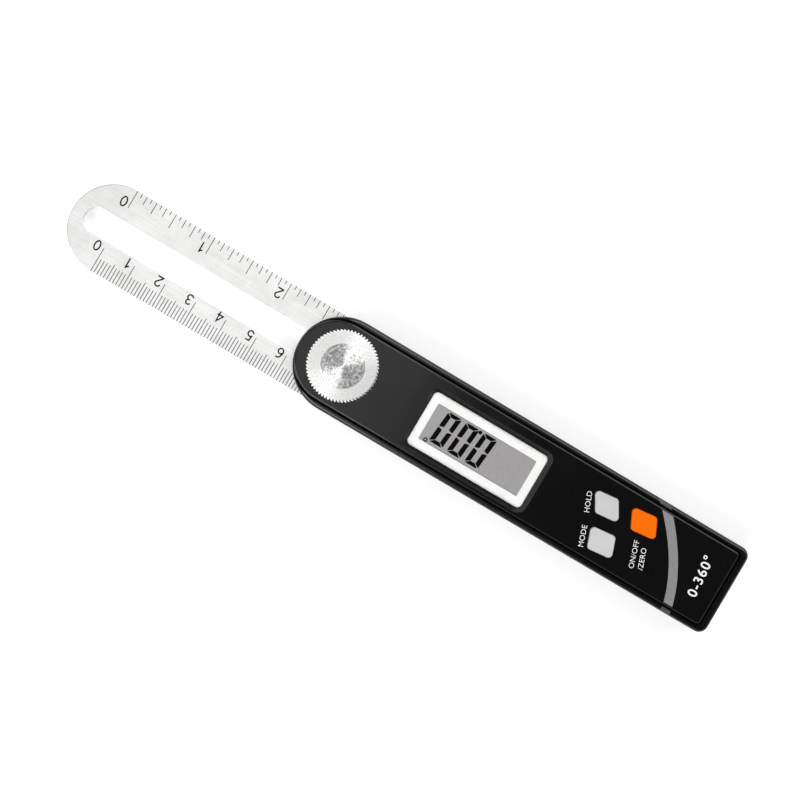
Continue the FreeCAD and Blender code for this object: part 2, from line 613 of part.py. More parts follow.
SNUG_X = centred("dim.display_x", "(dim.window_long - 2 * dim.window_play)")
SNUG_Y = centred("dim.display_y", "(dim.window_wide - 2 * dim.window_play)")
plate("display_window", SNUG_X, SNUG_Y, (BEZEL_TOP, WINDOW_TOP), "dim.window_corner - dim.window_play")
cut("display_bezel",
    plate("bezel_plate", SNUG_X, SNUG_Y, (BEZEL_LOW, BEZEL_TOP), "dim.window_corner - dim.window_play"),
    plate("bezel_view", centred("dim.display_x", "dim.view_long"), centred("dim.display_y", "dim.view_wide"),
          (BEZEL_LOW, BEZEL_TOP), "dim.view_corner"))

REAR_GLASS_X = centred("dim.display_x", "(dim.view_long + 2 * dim.rear_glass_margin_x)")
REAR_GLASS_Y = centred("dim.display_y", "(dim.view_wide + 2 * dim.rear_glass_margin_y)")
REAR_GLASS_LOW = f"({PANEL_LOW} - dim.rear_glass_thick)"
join("display_glass",
     block("rear_glass", REAR_GLASS_X, REAR_GLASS_Y, (REAR_GLASS_LOW, PANEL_LOW)),
     block("front_glass", centred("dim.display_x", "(dim.view_long + 2 * dim.glass_margin)"),
           centred("dim.display_y", "(dim.view_wide + 2 * dim.glass_margin)"), (PANEL_LOW, BEZEL_LOW)))
zebra_x = (f"({REAR_GLASS_X[0]} + dim.zebra_inset)", f"({REAR_GLASS_X[1]} - dim.zebra_inset)")
join("zebra_strips",
     block("zebra_low", zebra_x, (REAR_GLASS_Y[0], f"({REAR_GLASS_Y[0]} + dim.zebra_wide)"),
           (BOARD_TOP, REAR_GLASS_LOW)),
     block("zebra_high", zebra_x, (f"({REAR_GLASS_Y[1]} - dim.zebra_wide)", REAR_GLASS_Y[1]),
           (BOARD_TOP, REAR_GLASS_LOW)))

# ---- Circuit board with what is soldered to it -------------------------------------------------

BOARD_HALF = f"({INNER_HALF} - dim.board_play)"
board = block("board_sheet", (BOARD_NEAR_X, f"({CAVITY_FAR_X} - dim.board_play)"),
              (f"(-{BOARD_HALF})", BOARD_HALF), (BOARD_LOW, BOARD_TOP))
notches = [disc(f"board_notch_{index}", "(dim.boss_wide / 2 + dim.board_play)", (BOARD_LOW, BOARD_TOP), x, y)
           for index, (x, y) in enumerate(COVER_SCREWS)]
holes = [disc(f"board_hole_{index}", "(dim.board_screw_wide / 2)", (BOARD_LOW, BOARD_TOP), x, y)
         for index, (x, y) in enumerate(BOARD_SCREWS)]
cut("main_board", board, *notches, *holes)

block("controller_chip", centred("dim.display_x", "dim.chip_wide"), centred("dim.display_y", "dim.chip_wide"),
      (BOARD_TOP, f"({BOARD_TOP} + dim.chip_thick)"))

switches = []
for key in KEYS:
    centre = (f"dim.{key}_x", f"dim.{key}_y")
    switches.append(block(f"{key}_switch_base", centred(centre[0], "dim.switch_wide"),
                          centred(centre[1], "dim.switch_wide"),
                          (BOARD_TOP, f"({BOARD_TOP} + dim.switch_base)")))
    switches.append(disc(f"{key}_switch_dome", "(dim.dome_wide / 2)",
                         (f"({BOARD_TOP} + dim.switch_base)", DOME_TOP), *centre))
join("dome_switches", *switches)

RIBBON_X = (f"({INNER_HALF} - dim.stator_play - dim.ribbon_lap)", f"({BOARD_NEAR_X} + dim.plug_long)")
block("ribbon_connector", (BOARD_NEAR_X, RIBBON_X[1]), centred("0", "dim.plug_wide"), (BOARD_TOP, STATOR_TOP))
block("encoder_ribbon", RIBBON_X, centred("0", "dim.ribbon_wide"),
      (STATOR_TOP, f"({STATOR_TOP} + dim.ribbon_thick)"))


def screw(name, thread, head, head_z, tip, x, y):
    """A screw; head_z gives the heights of the head's outer and inner faces, tip the thread's end."""
    shank_z = (tip, head_z[1]) if value(tip) < value(head_z[1]) else (head_z[1], tip)
    flat_z = head_z if value(head_z[0]) < value(head_z[1]) else (head_z[1], head_z[0])
    slot_z = (flat_z[0], f"({flat_z[0]} + dim.screw_slot_deep)")
    if head_z != flat_z:
        slot_z = (f"({flat_z[1]} - dim.screw_slot_deep)", flat_z[1])
    solid = join(name + "_solid", disc(name + "_head", f"({head} / 2)", flat_z, x, y),
                 disc(name + "_shank", f"({thread} / 2)", shank_z, x, y))
    long, wide = f"({head} - 2 * dim.screw_slot_margin)", "dim.screw_slot_wide"
    return cut(name, solid, block(name + "_slot_x", centred(x, long), centred(y, wide), slot_z),
               block(name + "_slot_y", centred(x, wide), centred(y, long), slot_z))


join("board_screws", *[
    screw(f"board_screw_{index}", "dim.board_screw_wide", "dim.board_screw_head",
          (f"({BOARD_TOP} + dim.board_screw_head_high)", BOARD_TOP),
          f"({BOARD_LOW} - dim.board_screw_bite)", x, y)
    for index, (x, y) in enumerate(BOARD_SCREWS)])

# ---- Rear cover: the back arm of the fork, with the battery bay and the captive nut -------------

SCREW_SEAT = "(dim.screw_sunk + dim.screw_head_high)"
GROOVE_TOP = f"({CAP_TOP} + dim.seal_thick)"
CAP_HOLE = f"({CAP_HALF} + dim.cap_play)"
LUG_HOLE = f"({CAP_HOLE} + dim.lug_reach)"
NUT_TOP = "(dim.nut_cap_thick + dim.nut_thick)"

rear = new_body("rear_body")
sketch = new_sketch(rear, "rear_outline", "0")
bullet(sketch, "0", HALF_WIDE, FAR_X, "dim.far_corner")
pad(rear, sketch, REAR_TOP)
soften(rear, "rear_edge_round", lambda edge: at_height(edge, "0"), "dim.rear_edge")
sketch = new_sketch(rear, "rear_bay_ring", REAR_TOP)
circles(sketch, f"({CELL_BORE} + dim.bay_wall)", [(CELL_X, "0")])
pad(rear, sketch, f"{CELL_TOP} - {REAR_TOP}")
sketch = new_sketch(rear, "rear_cell_bore", CELL_TOP)
circles(sketch, CELL_BORE, [(CELL_X, "0")])
pocket(rear, sketch, CELL_TOP)
sketch = new_sketch(rear, "rear_cap_hole", "0")
circles(sketch, CAP_HOLE, [(CELL_X, "0")])
pocket(rear, sketch, "dim.cap_lip", upwards=True)
sketch = new_sketch(rear, "rear_lug_groove", "dim.cap_lip")
circles(sketch, LUG_HOLE, [(CELL_X, "0")])
pocket(rear, sketch, f"{GROOVE_TOP} - dim.cap_lip", upwards=True)
sketch = new_sketch(rear, "rear_screw_seats", "0")
circles(sketch, "dim.screw_head_wide / 2 + dim.screw_play", COVER_SCREWS)
pocket(rear, sketch, SCREW_SEAT, upwards=True)
sketch = new_sketch(rear, "rear_screw_holes", "0")
circles(sketch, "dim.screw_wide / 2 + dim.screw_play", COVER_SCREWS)
pocket(rear, sketch, REAR_TOP, upwards=True)
sketch = new_sketch(rear, "rear_nut_cap_seat", "0")
circles(sketch, "dim.nut_cap_wide / 2 + dim.nut_cap_play", [("0", "0")])
pocket(rear, sketch, "dim.nut_cap_thick", upwards=True)
sketch = new_sketch(rear, "rear_stud_hole", "0")
circles(sketch, STUD_BORE, [("0", "0")])
pocket(rear, sketch, REAR_TOP, upwards=True)


def sector(name, radius, angle, z, turn):
    """A slice of a disc about the battery cap's axis, centred on the direction turn."""
    thing = disc(name, radius, z, CELL_X, "0")
    bind(thing, {"Angle": angle, "Placement.Rotation.Angle": f"{turn} - {angle} / 2"})
    return thing


cut("rear_cover", rear,
    sector("rear_notch_near", LUG_HOLE, "dim.notch_angle", ("0", "dim.cap_lip"), "(dim.notch_turn + 180)"),
    sector("rear_notch_far", LUG_HOLE, "dim.notch_angle", ("0", "dim.cap_lip"), "dim.notch_turn"),
    hexagon("rear_nut_pocket", "(dim.nut_wide + 2 * dim.nut_play)", ("dim.nut_cap_thick", NUT_TOP)),
    block("rear_contact_window", (CELL_X, f"({CELL_X} + dim.cell_wide)"), centred("0", "dim.contact_window"),
          (REAR_TOP, CELL_TOP)))

join("housing_screws", *[
    screw(f"cover_screw_{index}", "dim.screw_wide", "dim.screw_head_wide", ("dim.screw_sunk", SCREW_SEAT),
          f"({REAR_TOP} + dim.screw_bite)", x, y)
    for index, (x, y) in enumerate(COVER_SCREWS)])

# ---- Battery: cell, bayonet cap, seal and the two sprung contacts ------------------------------

join("battery_cell",
     disc("cell_can", "(dim.cell_wide / 2)", (CELL_LOW, f"({CELL_TOP} - dim.cell_cap_high)"), CELL_X, "0"),
     disc("cell_face", "(dim.cell_wide / 2 - dim.cell_step)", (f"({CELL_TOP} - dim.cell_cap_high)", CELL_TOP),
          CELL_X, "0"))

LUG_Z = ("(dim.cap_lip + dim.lug_play)", CAP_TOP)
cap = join("cap_solid", disc("cap_disc", CAP_HALF, ("0", CAP_TOP), CELL_X, "0"),
           sector("cap_lug_near", f"({CAP_HALF} + dim.lug_reach)", "dim.lug_angle", LUG_Z, "180"),
           sector("cap_lug_far", f"({CAP_HALF} + dim.lug_reach)", "dim.lug_angle", LUG_Z, "0"))
cut("battery_cap", cap, block("coin_slot", centred(CELL_X, f"(2 * ({CAP_HALF} - dim.coin_slot_margin))"),
                              centred("0", "dim.coin_slot_wide"), ("0", "dim.coin_slot_deep")))
ring("cap_seal", f"({CAP_HALF} - dim.seal_inset)", "(dim.cell_wide / 2 + dim.seal_clear)",
     (CAP_TOP, GROOVE_TOP), CELL_X, "0")

CONTACT_Y = centred("0", "dim.contact_wide")
CONTACT_TOP = (f"({BOARD_LOW} - dim.contact_thick)", BOARD_LOW)
join("battery_contact_minus",
     block("minus_pad", (CELL_X, f"({CELL_X} + dim.contact_foot)"), CONTACT_Y, CONTACT_TOP),
     block("minus_riser", (CELL_X, f"({CELL_X} + dim.contact_thick)"), CONTACT_Y, (CELL_TOP, BOARD_LOW)),
     block("minus_foot", (f"({CELL_X} - dim.contact_foot)", f"({CELL_X} + dim.contact_thick)"), CONTACT_Y,
           (CELL_TOP, f"({CELL_TOP} + dim.contact_thick)")))
plus_x = f"({CELL_X} + dim.cell_wide / 2)"
join("battery_contact_plus",
     block("plus_blade", (plus_x, f"({plus_x} + dim.contact_thick)"), CONTACT_Y,
           (f"({REAR_TOP} + dim.contact_thick)", BOARD_LOW)),
     block("plus_pad", (plus_x, f"({plus_x} + dim.contact_foot)"), CONTACT_Y, CONTACT_TOP))

# ---- Pivot stack: nut, washers, bush, hub, encoder ---------------------------------------------

cut("clamp_nut", hexagon("nut_solid", "dim.nut_wide", ("dim.nut_cap_thick", NUT_TOP)),
    disc("nut_bore", STUD_BORE, ("dim.nut_cap_thick", NUT_TOP)))
disc("nut_cap", "(dim.nut_cap_wide / 2)", ("0", "dim.nut_cap_thick"))
ring("friction_washer", "(dim.washer_wide / 2)", STUD_BORE, (REAR_TOP, BLADE_LOW))
cut("pivot_bush", join("bush_solid", disc("bush_tube", "(dim.bush_wide / 2)",
                                          (f"({BLADE_LOW} + dim.bush_short)", PANEL_TOP)),
                       disc("bush_flange", "(dim.bush_flange_wide / 2)",
                            (f"({PANEL_TOP} - dim.bush_flange_thick)", PANEL_TOP))),
    disc("bush_bore", STUD_BORE, (BLADE_LOW, PANEL_TOP)))

hub = new_body("guide_hub")
sketch = new_sketch(hub, "hub_disc", BLADE_TOP)
circles(sketch, "dim.hub_wide / 2", [("0", "0")])
pad(hub, sketch, f"{FLOOR_TOP} - {BLADE_TOP}")
sketch = new_sketch(hub, "hub_key", f"({BLADE_LOW} + dim.key_lift)")
KEY_HALF = "(dim.slot_wide / 2 - dim.key_side_play)"
stadium(sketch, f"({KEY_HALF} - dim.key_long / 2)", f"(dim.key_long / 2 - {KEY_HALF})", KEY_HALF)
pad(hub, sketch, "dim.blade_thick - dim.key_lift")
sketch = new_sketch(hub, "hub_bore", FLOOR_TOP)
circles(sketch, "dim.bush_wide / 2 + dim.turn_play", [("0", "0")])
pocket(hub, sketch, f"{FLOOR_TOP} - {BLADE_LOW}")

CODE_HOLE = f"({PIVOT_BOSS} + dim.code_disc_play)"
ring("encoder_rotor", f"({HUB_STEP_BORE} - dim.code_disc_play)", CODE_HOLE,
     (FLOOR_TOP, f"({FLOOR_TOP} + dim.code_disc_thick)"))
ring("encoder_stator", f"({INNER_HALF} - dim.stator_play)", CODE_HOLE, (STATOR_LOW, STATOR_TOP))

# ---- Blade: stamped steel rule with a long slot ------------------------------------------------

blade = new_body("blade")
sketch = new_sketch(blade, "blade_outline", BLADE_LOW)
stadium(sketch, f"({BLADE_HALF} - {BLADE_REACH})", f"(dim.blade_tail - {BLADE_HALF})", BLADE_HALF)
pad(blade, sketch, "dim.blade_thick")
sketch = new_sketch(blade, "blade_slot", BLADE_TOP)
stadium(sketch, f"(dim.slot_margin + dim.slot_wide / 2 - {BLADE_REACH})",
        "(dim.blade_tail - dim.slot_margin - dim.slot_wide / 2)", "(dim.slot_wide / 2)")
pocket(blade, sketch, "dim.blade_thick")

# ---- Lock knob: turned aluminium on a steel stud, over a washer --------------------------------

ring("knob_washer", "(dim.knob_washer_wide / 2)", STUD_BORE, (PANEL_TOP, KNOB_LOW))
disc("knob_stud", "(dim.stud_wide / 2)",
     ("(dim.nut_cap_thick + dim.stud_tail)", f"({KNOB_LOW} + dim.stud_grip)"))
knob = new_body("lock_knob")
sketch = new_sketch(knob, "knob_profile", "0", "XZ_Plane")
KNOB_RADIUS = "(dim.knob_wide / 2)"
RING_TOP = f"({KNOB_TOP} - dim.knob_face_step)"
polygon(sketch, [
    ("0", KNOB_LOW),
    ("(dim.knob_washer_wide / 2)", KNOB_LOW),
    ("(dim.knob_washer_wide / 2)", f"({KNOB_LOW} + dim.knob_relief)"),
    (f"({KNOB_RADIUS} - dim.knob_edge)", f"({KNOB_LOW} + dim.knob_relief)"),
    (KNOB_RADIUS, f"({KNOB_LOW} + dim.knob_relief + dim.knob_edge)"),
    (KNOB_RADIUS, f"({RING_TOP} - dim.knob_fall - dim.knob_edge)"),
    (f"({KNOB_RADIUS} - dim.knob_edge)", f"({RING_TOP} - dim.knob_fall)"),
    ("(dim.knob_face_wide / 2 + dim.knob_face_step)", RING_TOP),
    ("(dim.knob_face_wide / 2)", KNOB_TOP),
    ("0", KNOB_TOP),
])
revolve(knob, sketch)
sketch = new_sketch(knob, "knob_bore", KNOB_LOW)
circles(sketch, "dim.stud_wide / 2", [("0", "0")])
pocket(knob, sketch, "dim.stud_grip", upwards=True)

# ---- Keys: three slanted caps on stop flanges, each over its switch ----------------------------

for key in KEYS:
    body = new_body(f"{key}_button")
    sketch = new_sketch(body, f"{key}_cap", FLANGE_TOP)
    polygon(sketch, key_corners(key, "0"))
    pad(body, sketch, f"{PANEL_TOP} + dim.key_proud - {FLANGE_TOP}")
    soften(body, f"{key}_cap_corners", lambda edge: edge.BoundBox.ZLength > 1, "dim.key_round")
    soften(body, f"{key}_cap_edge", lambda edge: at_height(edge, f"({PANEL_TOP} + dim.key_proud)"),
           "dim.key_edge")
    sketch = new_sketch(body, f"{key}_flange", FLANGE_LOW)
    polygon(sketch, key_corners(key, "dim.key_flange"))
    pad(body, sketch, "dim.key_flange_thick")

# ---- Check and write ---------------------------------------------------------------------------

NODES = [
    "front_housing", "face_panel", "rear_cover", "display_window", "display_bezel", "display_glass",
    "zebra_strips", "main_board", "controller_chip", "dome_switches", "ribbon_connector", "encoder_ribbon",
    "board_screws", "housing_screws", "battery_cell", "battery_cap", "cap_seal", "battery_contact_minus",
    "battery_contact_plus", "clamp_nut", "nut_cap", "friction_washer", "pivot_bush", "guide_hub",
    "encoder_rotor", "encoder_stator", "blade", "knob_washer", "knob_stud", "lock_knob",
    "hold_button", "mode_button", "power_button",
]
doc.recompute()
for thing in doc.Objects:
    if "Invalid" in thing.State or "Error" in thing.State:
        raise RuntimeError(f"{thing.Name} could not be built: {thing.State}")
for name in NODES:
    shape = doc.getObject(name).Shape
    if shape.isNull() or not shape.isValid() or not shape.Solids:
        raise RuntimeError(f"{name} has no valid solid")
for name in NODES:
    node = doc.getObject(name)
    node.Label = name
    node.Shape.exportStep(f"parts/{name}.step")
    print(f"{name}: {len(node.Shape.Solids)} solid(s), {node.Shape.Volume:.1f} mm3")
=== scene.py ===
"""Digital angle finder: a slotted steel rule that slides and turns in a black handle.

The tool lies on its back.  Sizes are in millimetres in the tool's own frame: the pivot axis is Z,
the handle runs towards +X and the blade lies towards -X.  MM turns them into metres.
"""
import math

import bmesh
import bpy
import numpy as np
from mathutils import Matrix, Vector


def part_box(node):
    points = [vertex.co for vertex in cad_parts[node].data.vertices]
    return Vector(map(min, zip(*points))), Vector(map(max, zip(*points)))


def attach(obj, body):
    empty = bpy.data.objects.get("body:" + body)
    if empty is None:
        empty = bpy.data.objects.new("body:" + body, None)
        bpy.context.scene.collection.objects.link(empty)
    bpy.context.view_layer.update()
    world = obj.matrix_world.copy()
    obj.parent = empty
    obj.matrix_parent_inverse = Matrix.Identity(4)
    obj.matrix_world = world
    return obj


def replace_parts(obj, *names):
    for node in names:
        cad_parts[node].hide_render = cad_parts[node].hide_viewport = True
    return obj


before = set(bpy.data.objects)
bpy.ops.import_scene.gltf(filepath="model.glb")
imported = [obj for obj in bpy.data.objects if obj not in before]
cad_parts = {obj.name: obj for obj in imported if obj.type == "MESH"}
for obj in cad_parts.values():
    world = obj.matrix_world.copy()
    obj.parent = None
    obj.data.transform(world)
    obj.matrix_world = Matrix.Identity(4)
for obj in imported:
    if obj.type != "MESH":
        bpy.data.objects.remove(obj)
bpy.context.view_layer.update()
MM = 0.001

# ---- Camera ------------------------------------------------------------------------------------
# It looks down at the tool from almost straight above, a little from the blade's side, and is
# rolled so that the tool runs from the upper left to the lower right.

AIM = Vector((19.93, 0.18, 0.0))
DISTANCE = 450.0
TILT_ACROSS, TILT_ALONG, ROLL = -0.57, 4.1, -30.6
LENS = 69.4

turned = (Matrix.Rotation(math.radians(ROLL), 3, "Z")
          @ Matrix.Rotation(math.radians(TILT_ACROSS), 3, "X")
          @ Matrix.Rotation(math.radians(TILT_ALONG), 3, "Y"))
camera = bpy.data.objects.new("camera", bpy.data.cameras.new("camera"))
camera.data.lens = LENS
camera.data.clip_start = 0.01
camera.matrix_world = (Matrix.Translation((AIM + DISTANCE * turned[2]) * MM)
                       @ turned.transposed().to_4x4())
bpy.context.scene.collection.objects.link(camera)
bpy.context.scene.camera = camera
bpy.context.scene.view_settings.view_transform = "Standard"


# ---- Table and studio light --------------------------------------------------------------------
# A white table top in front of a pale backdrop, one long softbox overhead that lies across the
# tool towards the blade's end, one beyond that end, and lower ones along the tool's two sides.

def tint(code):
    """The linear colour of an sRGB hex code."""
    part = np.array([int(code[i:i + 2], 16) for i in (1, 3, 5)]) / 255
    linear = np.where(part <= 0.04045, part / 12.92, ((part + 0.055) / 1.055) ** 2.4)
    return (*(float(level) for level in linear), 1.0)


def add(tree, kind, inputs=None, **settings):
    """Add a node: settings are its fields, inputs its sockets' numbers or the sockets that feed them."""
    node = tree.nodes.new(kind)
    for field, setting in settings.items():
        setattr(node, field, setting)
    for socket, feed in (inputs or {}).items():
        if isinstance(feed, bpy.types.NodeSocket):
            tree.links.new(feed, node.inputs[socket])
        else:
            node.inputs[socket].default_value = feed
    return node


def new_finish(name):
    """A new empty material, its node tree and the socket with its Object coordinates."""
    made = bpy.data.materials.new(name)
    made.use_nodes = True
    made.node_tree.nodes.clear()
    spot = add(made.node_tree, "ShaderNodeTexCoord")
    return made, made.node_tree, spot.outputs["Object"]


table_paint, tree, spot = new_finish("white_table_paint")
GLOW_NEAR, GLOW_FAR, GLOW_LOW = 400.0, 1800.0, 0.4  # its own light: low near the tool, full far off
paint = add(tree, "ShaderNodeBsdfDiffuse", {"Color": tint("#f4f4f4")})
away = add(tree, "ShaderNodeVectorMath", {0: spot}, operation="LENGTH")
fade = add(tree, "ShaderNodeMapRange", {
    "Value": away.outputs["Value"], "From Min": GLOW_NEAR * MM, "From Max": GLOW_FAR * MM,
    "To Min": GLOW_LOW})
glow = add(tree, "ShaderNodeEmission", {"Color": tint("#ffffff"), "Strength": fade.outputs[0]})
lit = add(tree, "ShaderNodeAddShader", {0: paint.outputs[0], 1: glow.outputs[0]})
ray = add(tree, "ShaderNodeLightPath")
seen = add(tree, "ShaderNodeMath", {
    0: ray.outputs["Is Camera Ray"], 1: ray.outputs["Is Glossy Ray"]}, operation="ADD", use_clamp=True)
seen = add(tree, "ShaderNodeMath", {
    0: seen.outputs[0], 1: ray.outputs["Is Transmission Ray"]}, operation="ADD", use_clamp=True)
mixed = add(tree, "ShaderNodeMixShader", {0: seen.outputs[0], 1: paint.outputs[0], 2: lit.outputs[0]})
add(tree, "ShaderNodeOutputMaterial", {"Surface": mixed.outputs[0]})

TABLE_REACH, TABLE_Z = 4000.0, -0.05
table = bpy.data.meshes.new("table_top")
table.from_pydata([(x * TABLE_REACH * MM, y * TABLE_REACH * MM, TABLE_Z * MM)
                   for x, y in ((-1, -1), (1, -1), (1, 1), (-1, 1))], [], [(0, 1, 2, 3)])
table.materials.append(table_paint)
table_top = bpy.data.objects.new("table_top", table)
bpy.context.scene.collection.objects.link(table_top)

ROOM_LEVEL = 0.10
BACKDROP_TOP, BACKDROP_SOLID = 0.70, 0.24  # sines of the heights where it ends and is full
room = bpy.data.worlds.new("studio_room")
bpy.context.scene.world = room
room.use_nodes = True
tree = room.node_tree
tree.nodes.clear()
ray = add(tree, "ShaderNodeLightPath")
mirrored = add(tree, "ShaderNodeMath", {
    0: ray.outputs["Is Glossy Ray"], 1: ray.outputs["Is Transmission Ray"]}, operation="ADD",
    use_clamp=True)
where = add(tree, "ShaderNodeTexCoord")
height = add(tree, "ShaderNodeSeparateXYZ", {"Vector": where.outputs["Generated"]})
backdrop = add(tree, "ShaderNodeMapRange", {
    "Value": height.outputs["Z"], "From Min": BACKDROP_TOP, "From Max": BACKDROP_SOLID})
pale = add(tree, "ShaderNodeMath", {
    0: mirrored.outputs[0], 1: backdrop.outputs[0], 2: ray.outputs["Is Camera Ray"]},
    operation="MULTIPLY_ADD", use_clamp=True)
dim = add(tree, "ShaderNodeBackground", {"Color": tint("#ffffff"), "Strength": ROOM_LEVEL})
white = add(tree, "ShaderNodeBackground", {"Color": tint("#ffffff"), "Strength": 1.0})
mixed = add(tree, "ShaderNodeMixShader", {0: pale.outputs[0], 1: dim.outputs[0], 2: white.outputs[0]})
add(tree, "ShaderNodeOutputWorld", {"Surface": mixed.outputs[0]})


def softbox(name, centre, size, radiance, aim_x=None):
    """A rectangular lamp that faces the tool's long axis, straight across it or at aim_x; its power
    is 4 x area x radiance."""
    lamp = bpy.data.lights.new(name, "AREA")
    lamp.shape = "RECTANGLE"
    lamp.size, lamp.size_y = (side * MM for side in size)
    lamp.energy = 4 * lamp.size * lamp.size_y * radiance
    box = bpy.data.objects.new(name, lamp)
    box.location = Vector(centre) * MM
    box.rotation_mode = "QUATERNION"
    aim = Vector((centre[0] if aim_x is None else aim_x, 0, 0))
    box.rotation_quaternion = (Vector(centre) - aim).to_track_quat("Z", "Y")
    box.visible_camera = False
    bpy.context.scene.collection.objects.link(box)


softbox("overhead_softbox", (-135, 0, 1000), (510, 1200), 0.80)
softbox("left_softbox", (-850, 0, 700), (500, 300), 1.4, aim_x=-135)
softbox("near_softbox_high_y", (-30, 640, 760), (260, 420), 5.0)
softbox("far_softbox_high_y", (470, 640, 760), (700, 420), 3.0)
softbox("near_softbox_low_y", (-30, -640, 760), (260, 420), 5.6)
softbox("long_softbox_low_y", (-500, -640, 760), (640, 420), 4.6)


# ---- Rear cover, front housing, battery cap and nut cap ----------------------------------------
# Injection-moulded black ABS, screwed together from behind.  Its finely spark-eroded skin reads as a
# soft dark grey where a lamp grazes it and nearly black elsewhere.  Hands have polished it in
# patches, but the sunk bed under the lid, seen in the open joint around it, stays rough and black.

PER_MM = 1000.0  # a texture scale of one cell per millimetre
NOISE_LOW, NOISE_HIGH = 0.3, 0.7  # nearly all of a noise texture's values lie between these


def dress(material, *names):
    """Give CAD nodes a finish."""
    for name in names:
        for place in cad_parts[name].material_slots:
            place.material = material


def surface(tree, pattern, colours, roughness, sockets=None, relief=None):
    """End a material's tree: its colour and its roughness run between two values while the pattern
    runs from NOISE_LOW to NOISE_HIGH.  sockets are the shader's others, and relief is the pattern of
    its bumps, their strength and their depth in mm."""
    level = add(tree, "ShaderNodeMapRange", {
        "Value": pattern, "From Min": NOISE_LOW, "From Max": NOISE_HIGH})
    tone = add(tree, "ShaderNodeMix", {
        "Factor": level.outputs[0], "A": tint(colours[0]), "B": tint(colours[1])}, data_type="RGBA")
    rough = add(tree, "ShaderNodeMapRange", {
        "Value": level.outputs[0], "To Min": roughness[0], "To Max": roughness[1]})
    shade = add(tree, "ShaderNodeBsdfPrincipled", {
        "Base Color": tone.outputs["Result"], "Roughness": rough.outputs[0], **(sockets or {})})
    if relief:
        height, strength, deep = relief
        bumps = add(tree, "ShaderNodeBump", {
            "Height": height, "Strength": strength, "Distance": deep * MM})
        tree.links.new(bumps.outputs[0], shade.inputs["Normal"])
    add(tree, "ShaderNodeOutputMaterial", {"Surface": shade.outputs[0]})
    return shade


EROSION = 0.35  # grain of the skin, coarser than real so that it shows
HANDLING = 22.0  # size of the polished patches
abs_moulded, tree, spot = new_finish("abs_moulded_black")
grain = add(tree, "ShaderNodeTexNoise", {
    "Vector": spot, "Scale": PER_MM / EROSION, "Detail": 2.0, "Roughness": 0.6})
patches = add(tree, "ShaderNodeTexNoise", {"Vector": spot, "Scale": PER_MM / HANDLING, "Detail": 3.0})
shade = surface(tree, patches.outputs["Fac"], ("#050506", "#080809"), (0.17, 0.24), {"IOR": 1.49},
                relief=(grain.outputs["Fac"], 0.25, 0.02))
BED_Z, BED_NEAR, FACING_UP = 10.7, 0.2, 0.9  # the bed is what faces up, within 0.2 mm of 10.7
BED_ROUGHNESS = 0.8
split = add(tree, "ShaderNodeSeparateXYZ", {"Vector": spot})
facing = add(tree, "ShaderNodeSeparateXYZ", {"Vector": spot.node.outputs["Normal"]})
sunk = add(tree, "ShaderNodeMath", {
    0: split.outputs["Z"], 1: BED_Z * MM, 2: BED_NEAR * MM}, operation="COMPARE")
flat = add(tree, "ShaderNodeMath", {0: facing.outputs["Z"], 1: FACING_UP}, operation="GREATER_THAN")
bed = add(tree, "ShaderNodeMath", {0: sunk.outputs[0], 1: flat.outputs[0]}, operation="MULTIPLY")
skin_rough = shade.inputs["Roughness"].links[0].from_socket
rough = add(tree, "ShaderNodeMix", {
    "Factor": bed.outputs[0], "A": skin_rough, "B": BED_ROUGHNESS}, data_type="FLOAT")
tree.links.new(rough.outputs["Result"], shade.inputs["Roughness"])
dress(abs_moulded, "front_housing", "rear_cover", "battery_cap", "nut_cap")

# ---- Cover screws, board screws, clamp nut, washer and stud ------------------------------------
# Zinc-plated steel: rolled threads, turned and punched bodies.  It is bright, a little blue or
# yellow from the passivation, with a soft cloudy sheen.

zinc, tree, spot = new_finish("zinc_plated_steel")
CLOUD, CRYSTAL = 1.6, 0.2  # the crystals are coarser than real, so that they show
clouds = add(tree, "ShaderNodeTexNoise", {
    "Vector": spot, "Scale": PER_MM / CLOUD, "Detail": 3.0, "Distortion": 0.4})
crystals = add(tree, "ShaderNodeTexNoise", {"Vector": spot, "Scale": PER_MM / CRYSTAL})
surface(tree, clouds.outputs["Fac"], ("#a9adb2", "#c6c5bb"), (0.28, 0.42), {"Metallic": 1.0},
        relief=(crystals.outputs["Fac"], 0.15, 0.01))
dress(zinc, "housing_screws", "board_screws", "clamp_nut", "knob_washer", "knob_stud")

# ---- Button cell -------------------------------------------------------------------------------
# A deep-drawn stainless can that lies loose in its bay, between the contacts and the cap.  It is
# brushed in circles about its own axis, and reads as a bright disc with fine rings.


def from_axis(tree, spot, axis_x=0.0):
    """The distance from an upright axis: the length of the way to it without its height."""
    centred = add(tree, "ShaderNodeVectorMath", {0: spot, 1: (axis_x * MM, 0, 0)}, operation="SUBTRACT")
    plan = add(tree, "ShaderNodeVectorMath", {0: centred.outputs[0], 1: (1, 1, 0)}, operation="MULTIPLY")
    return add(tree, "ShaderNodeVectorMath", {0: plan.outputs[0]}, operation="LENGTH").outputs["Value"]


def tool_marks(tree, spot, axis_x, pitch):
    """Circular marks about an upright axis: noise of one dimension along the distance from it.  The
    pitches are coarser than real, so that the rings show."""
    return add(tree, "ShaderNodeTexNoise", {
        "W": from_axis(tree, spot, axis_x), "Scale": PER_MM / pitch, "Detail": 3.0},
        noise_dimensions="1D")


CELL_X = (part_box("battery_cell")[0].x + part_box("battery_cell")[1].x) / 2 / MM
can, tree, spot = new_finish("stainless_cell_can")
marks = tool_marks(tree, spot, CELL_X, pitch=0.25)
surface(tree, marks.outputs["Fac"], ("#bcbcba", "#d4d4d2"), (0.2, 0.3), {"Metallic": 1.0})
dress(can, "battery_cell")

# ---- Battery contacts --------------------------------------------------------------------------
# Punched and bent from nickel-plated spring strip, with pads that press against the board: warm
# grey, with the lines of rolling along them, wider than real so that they show.

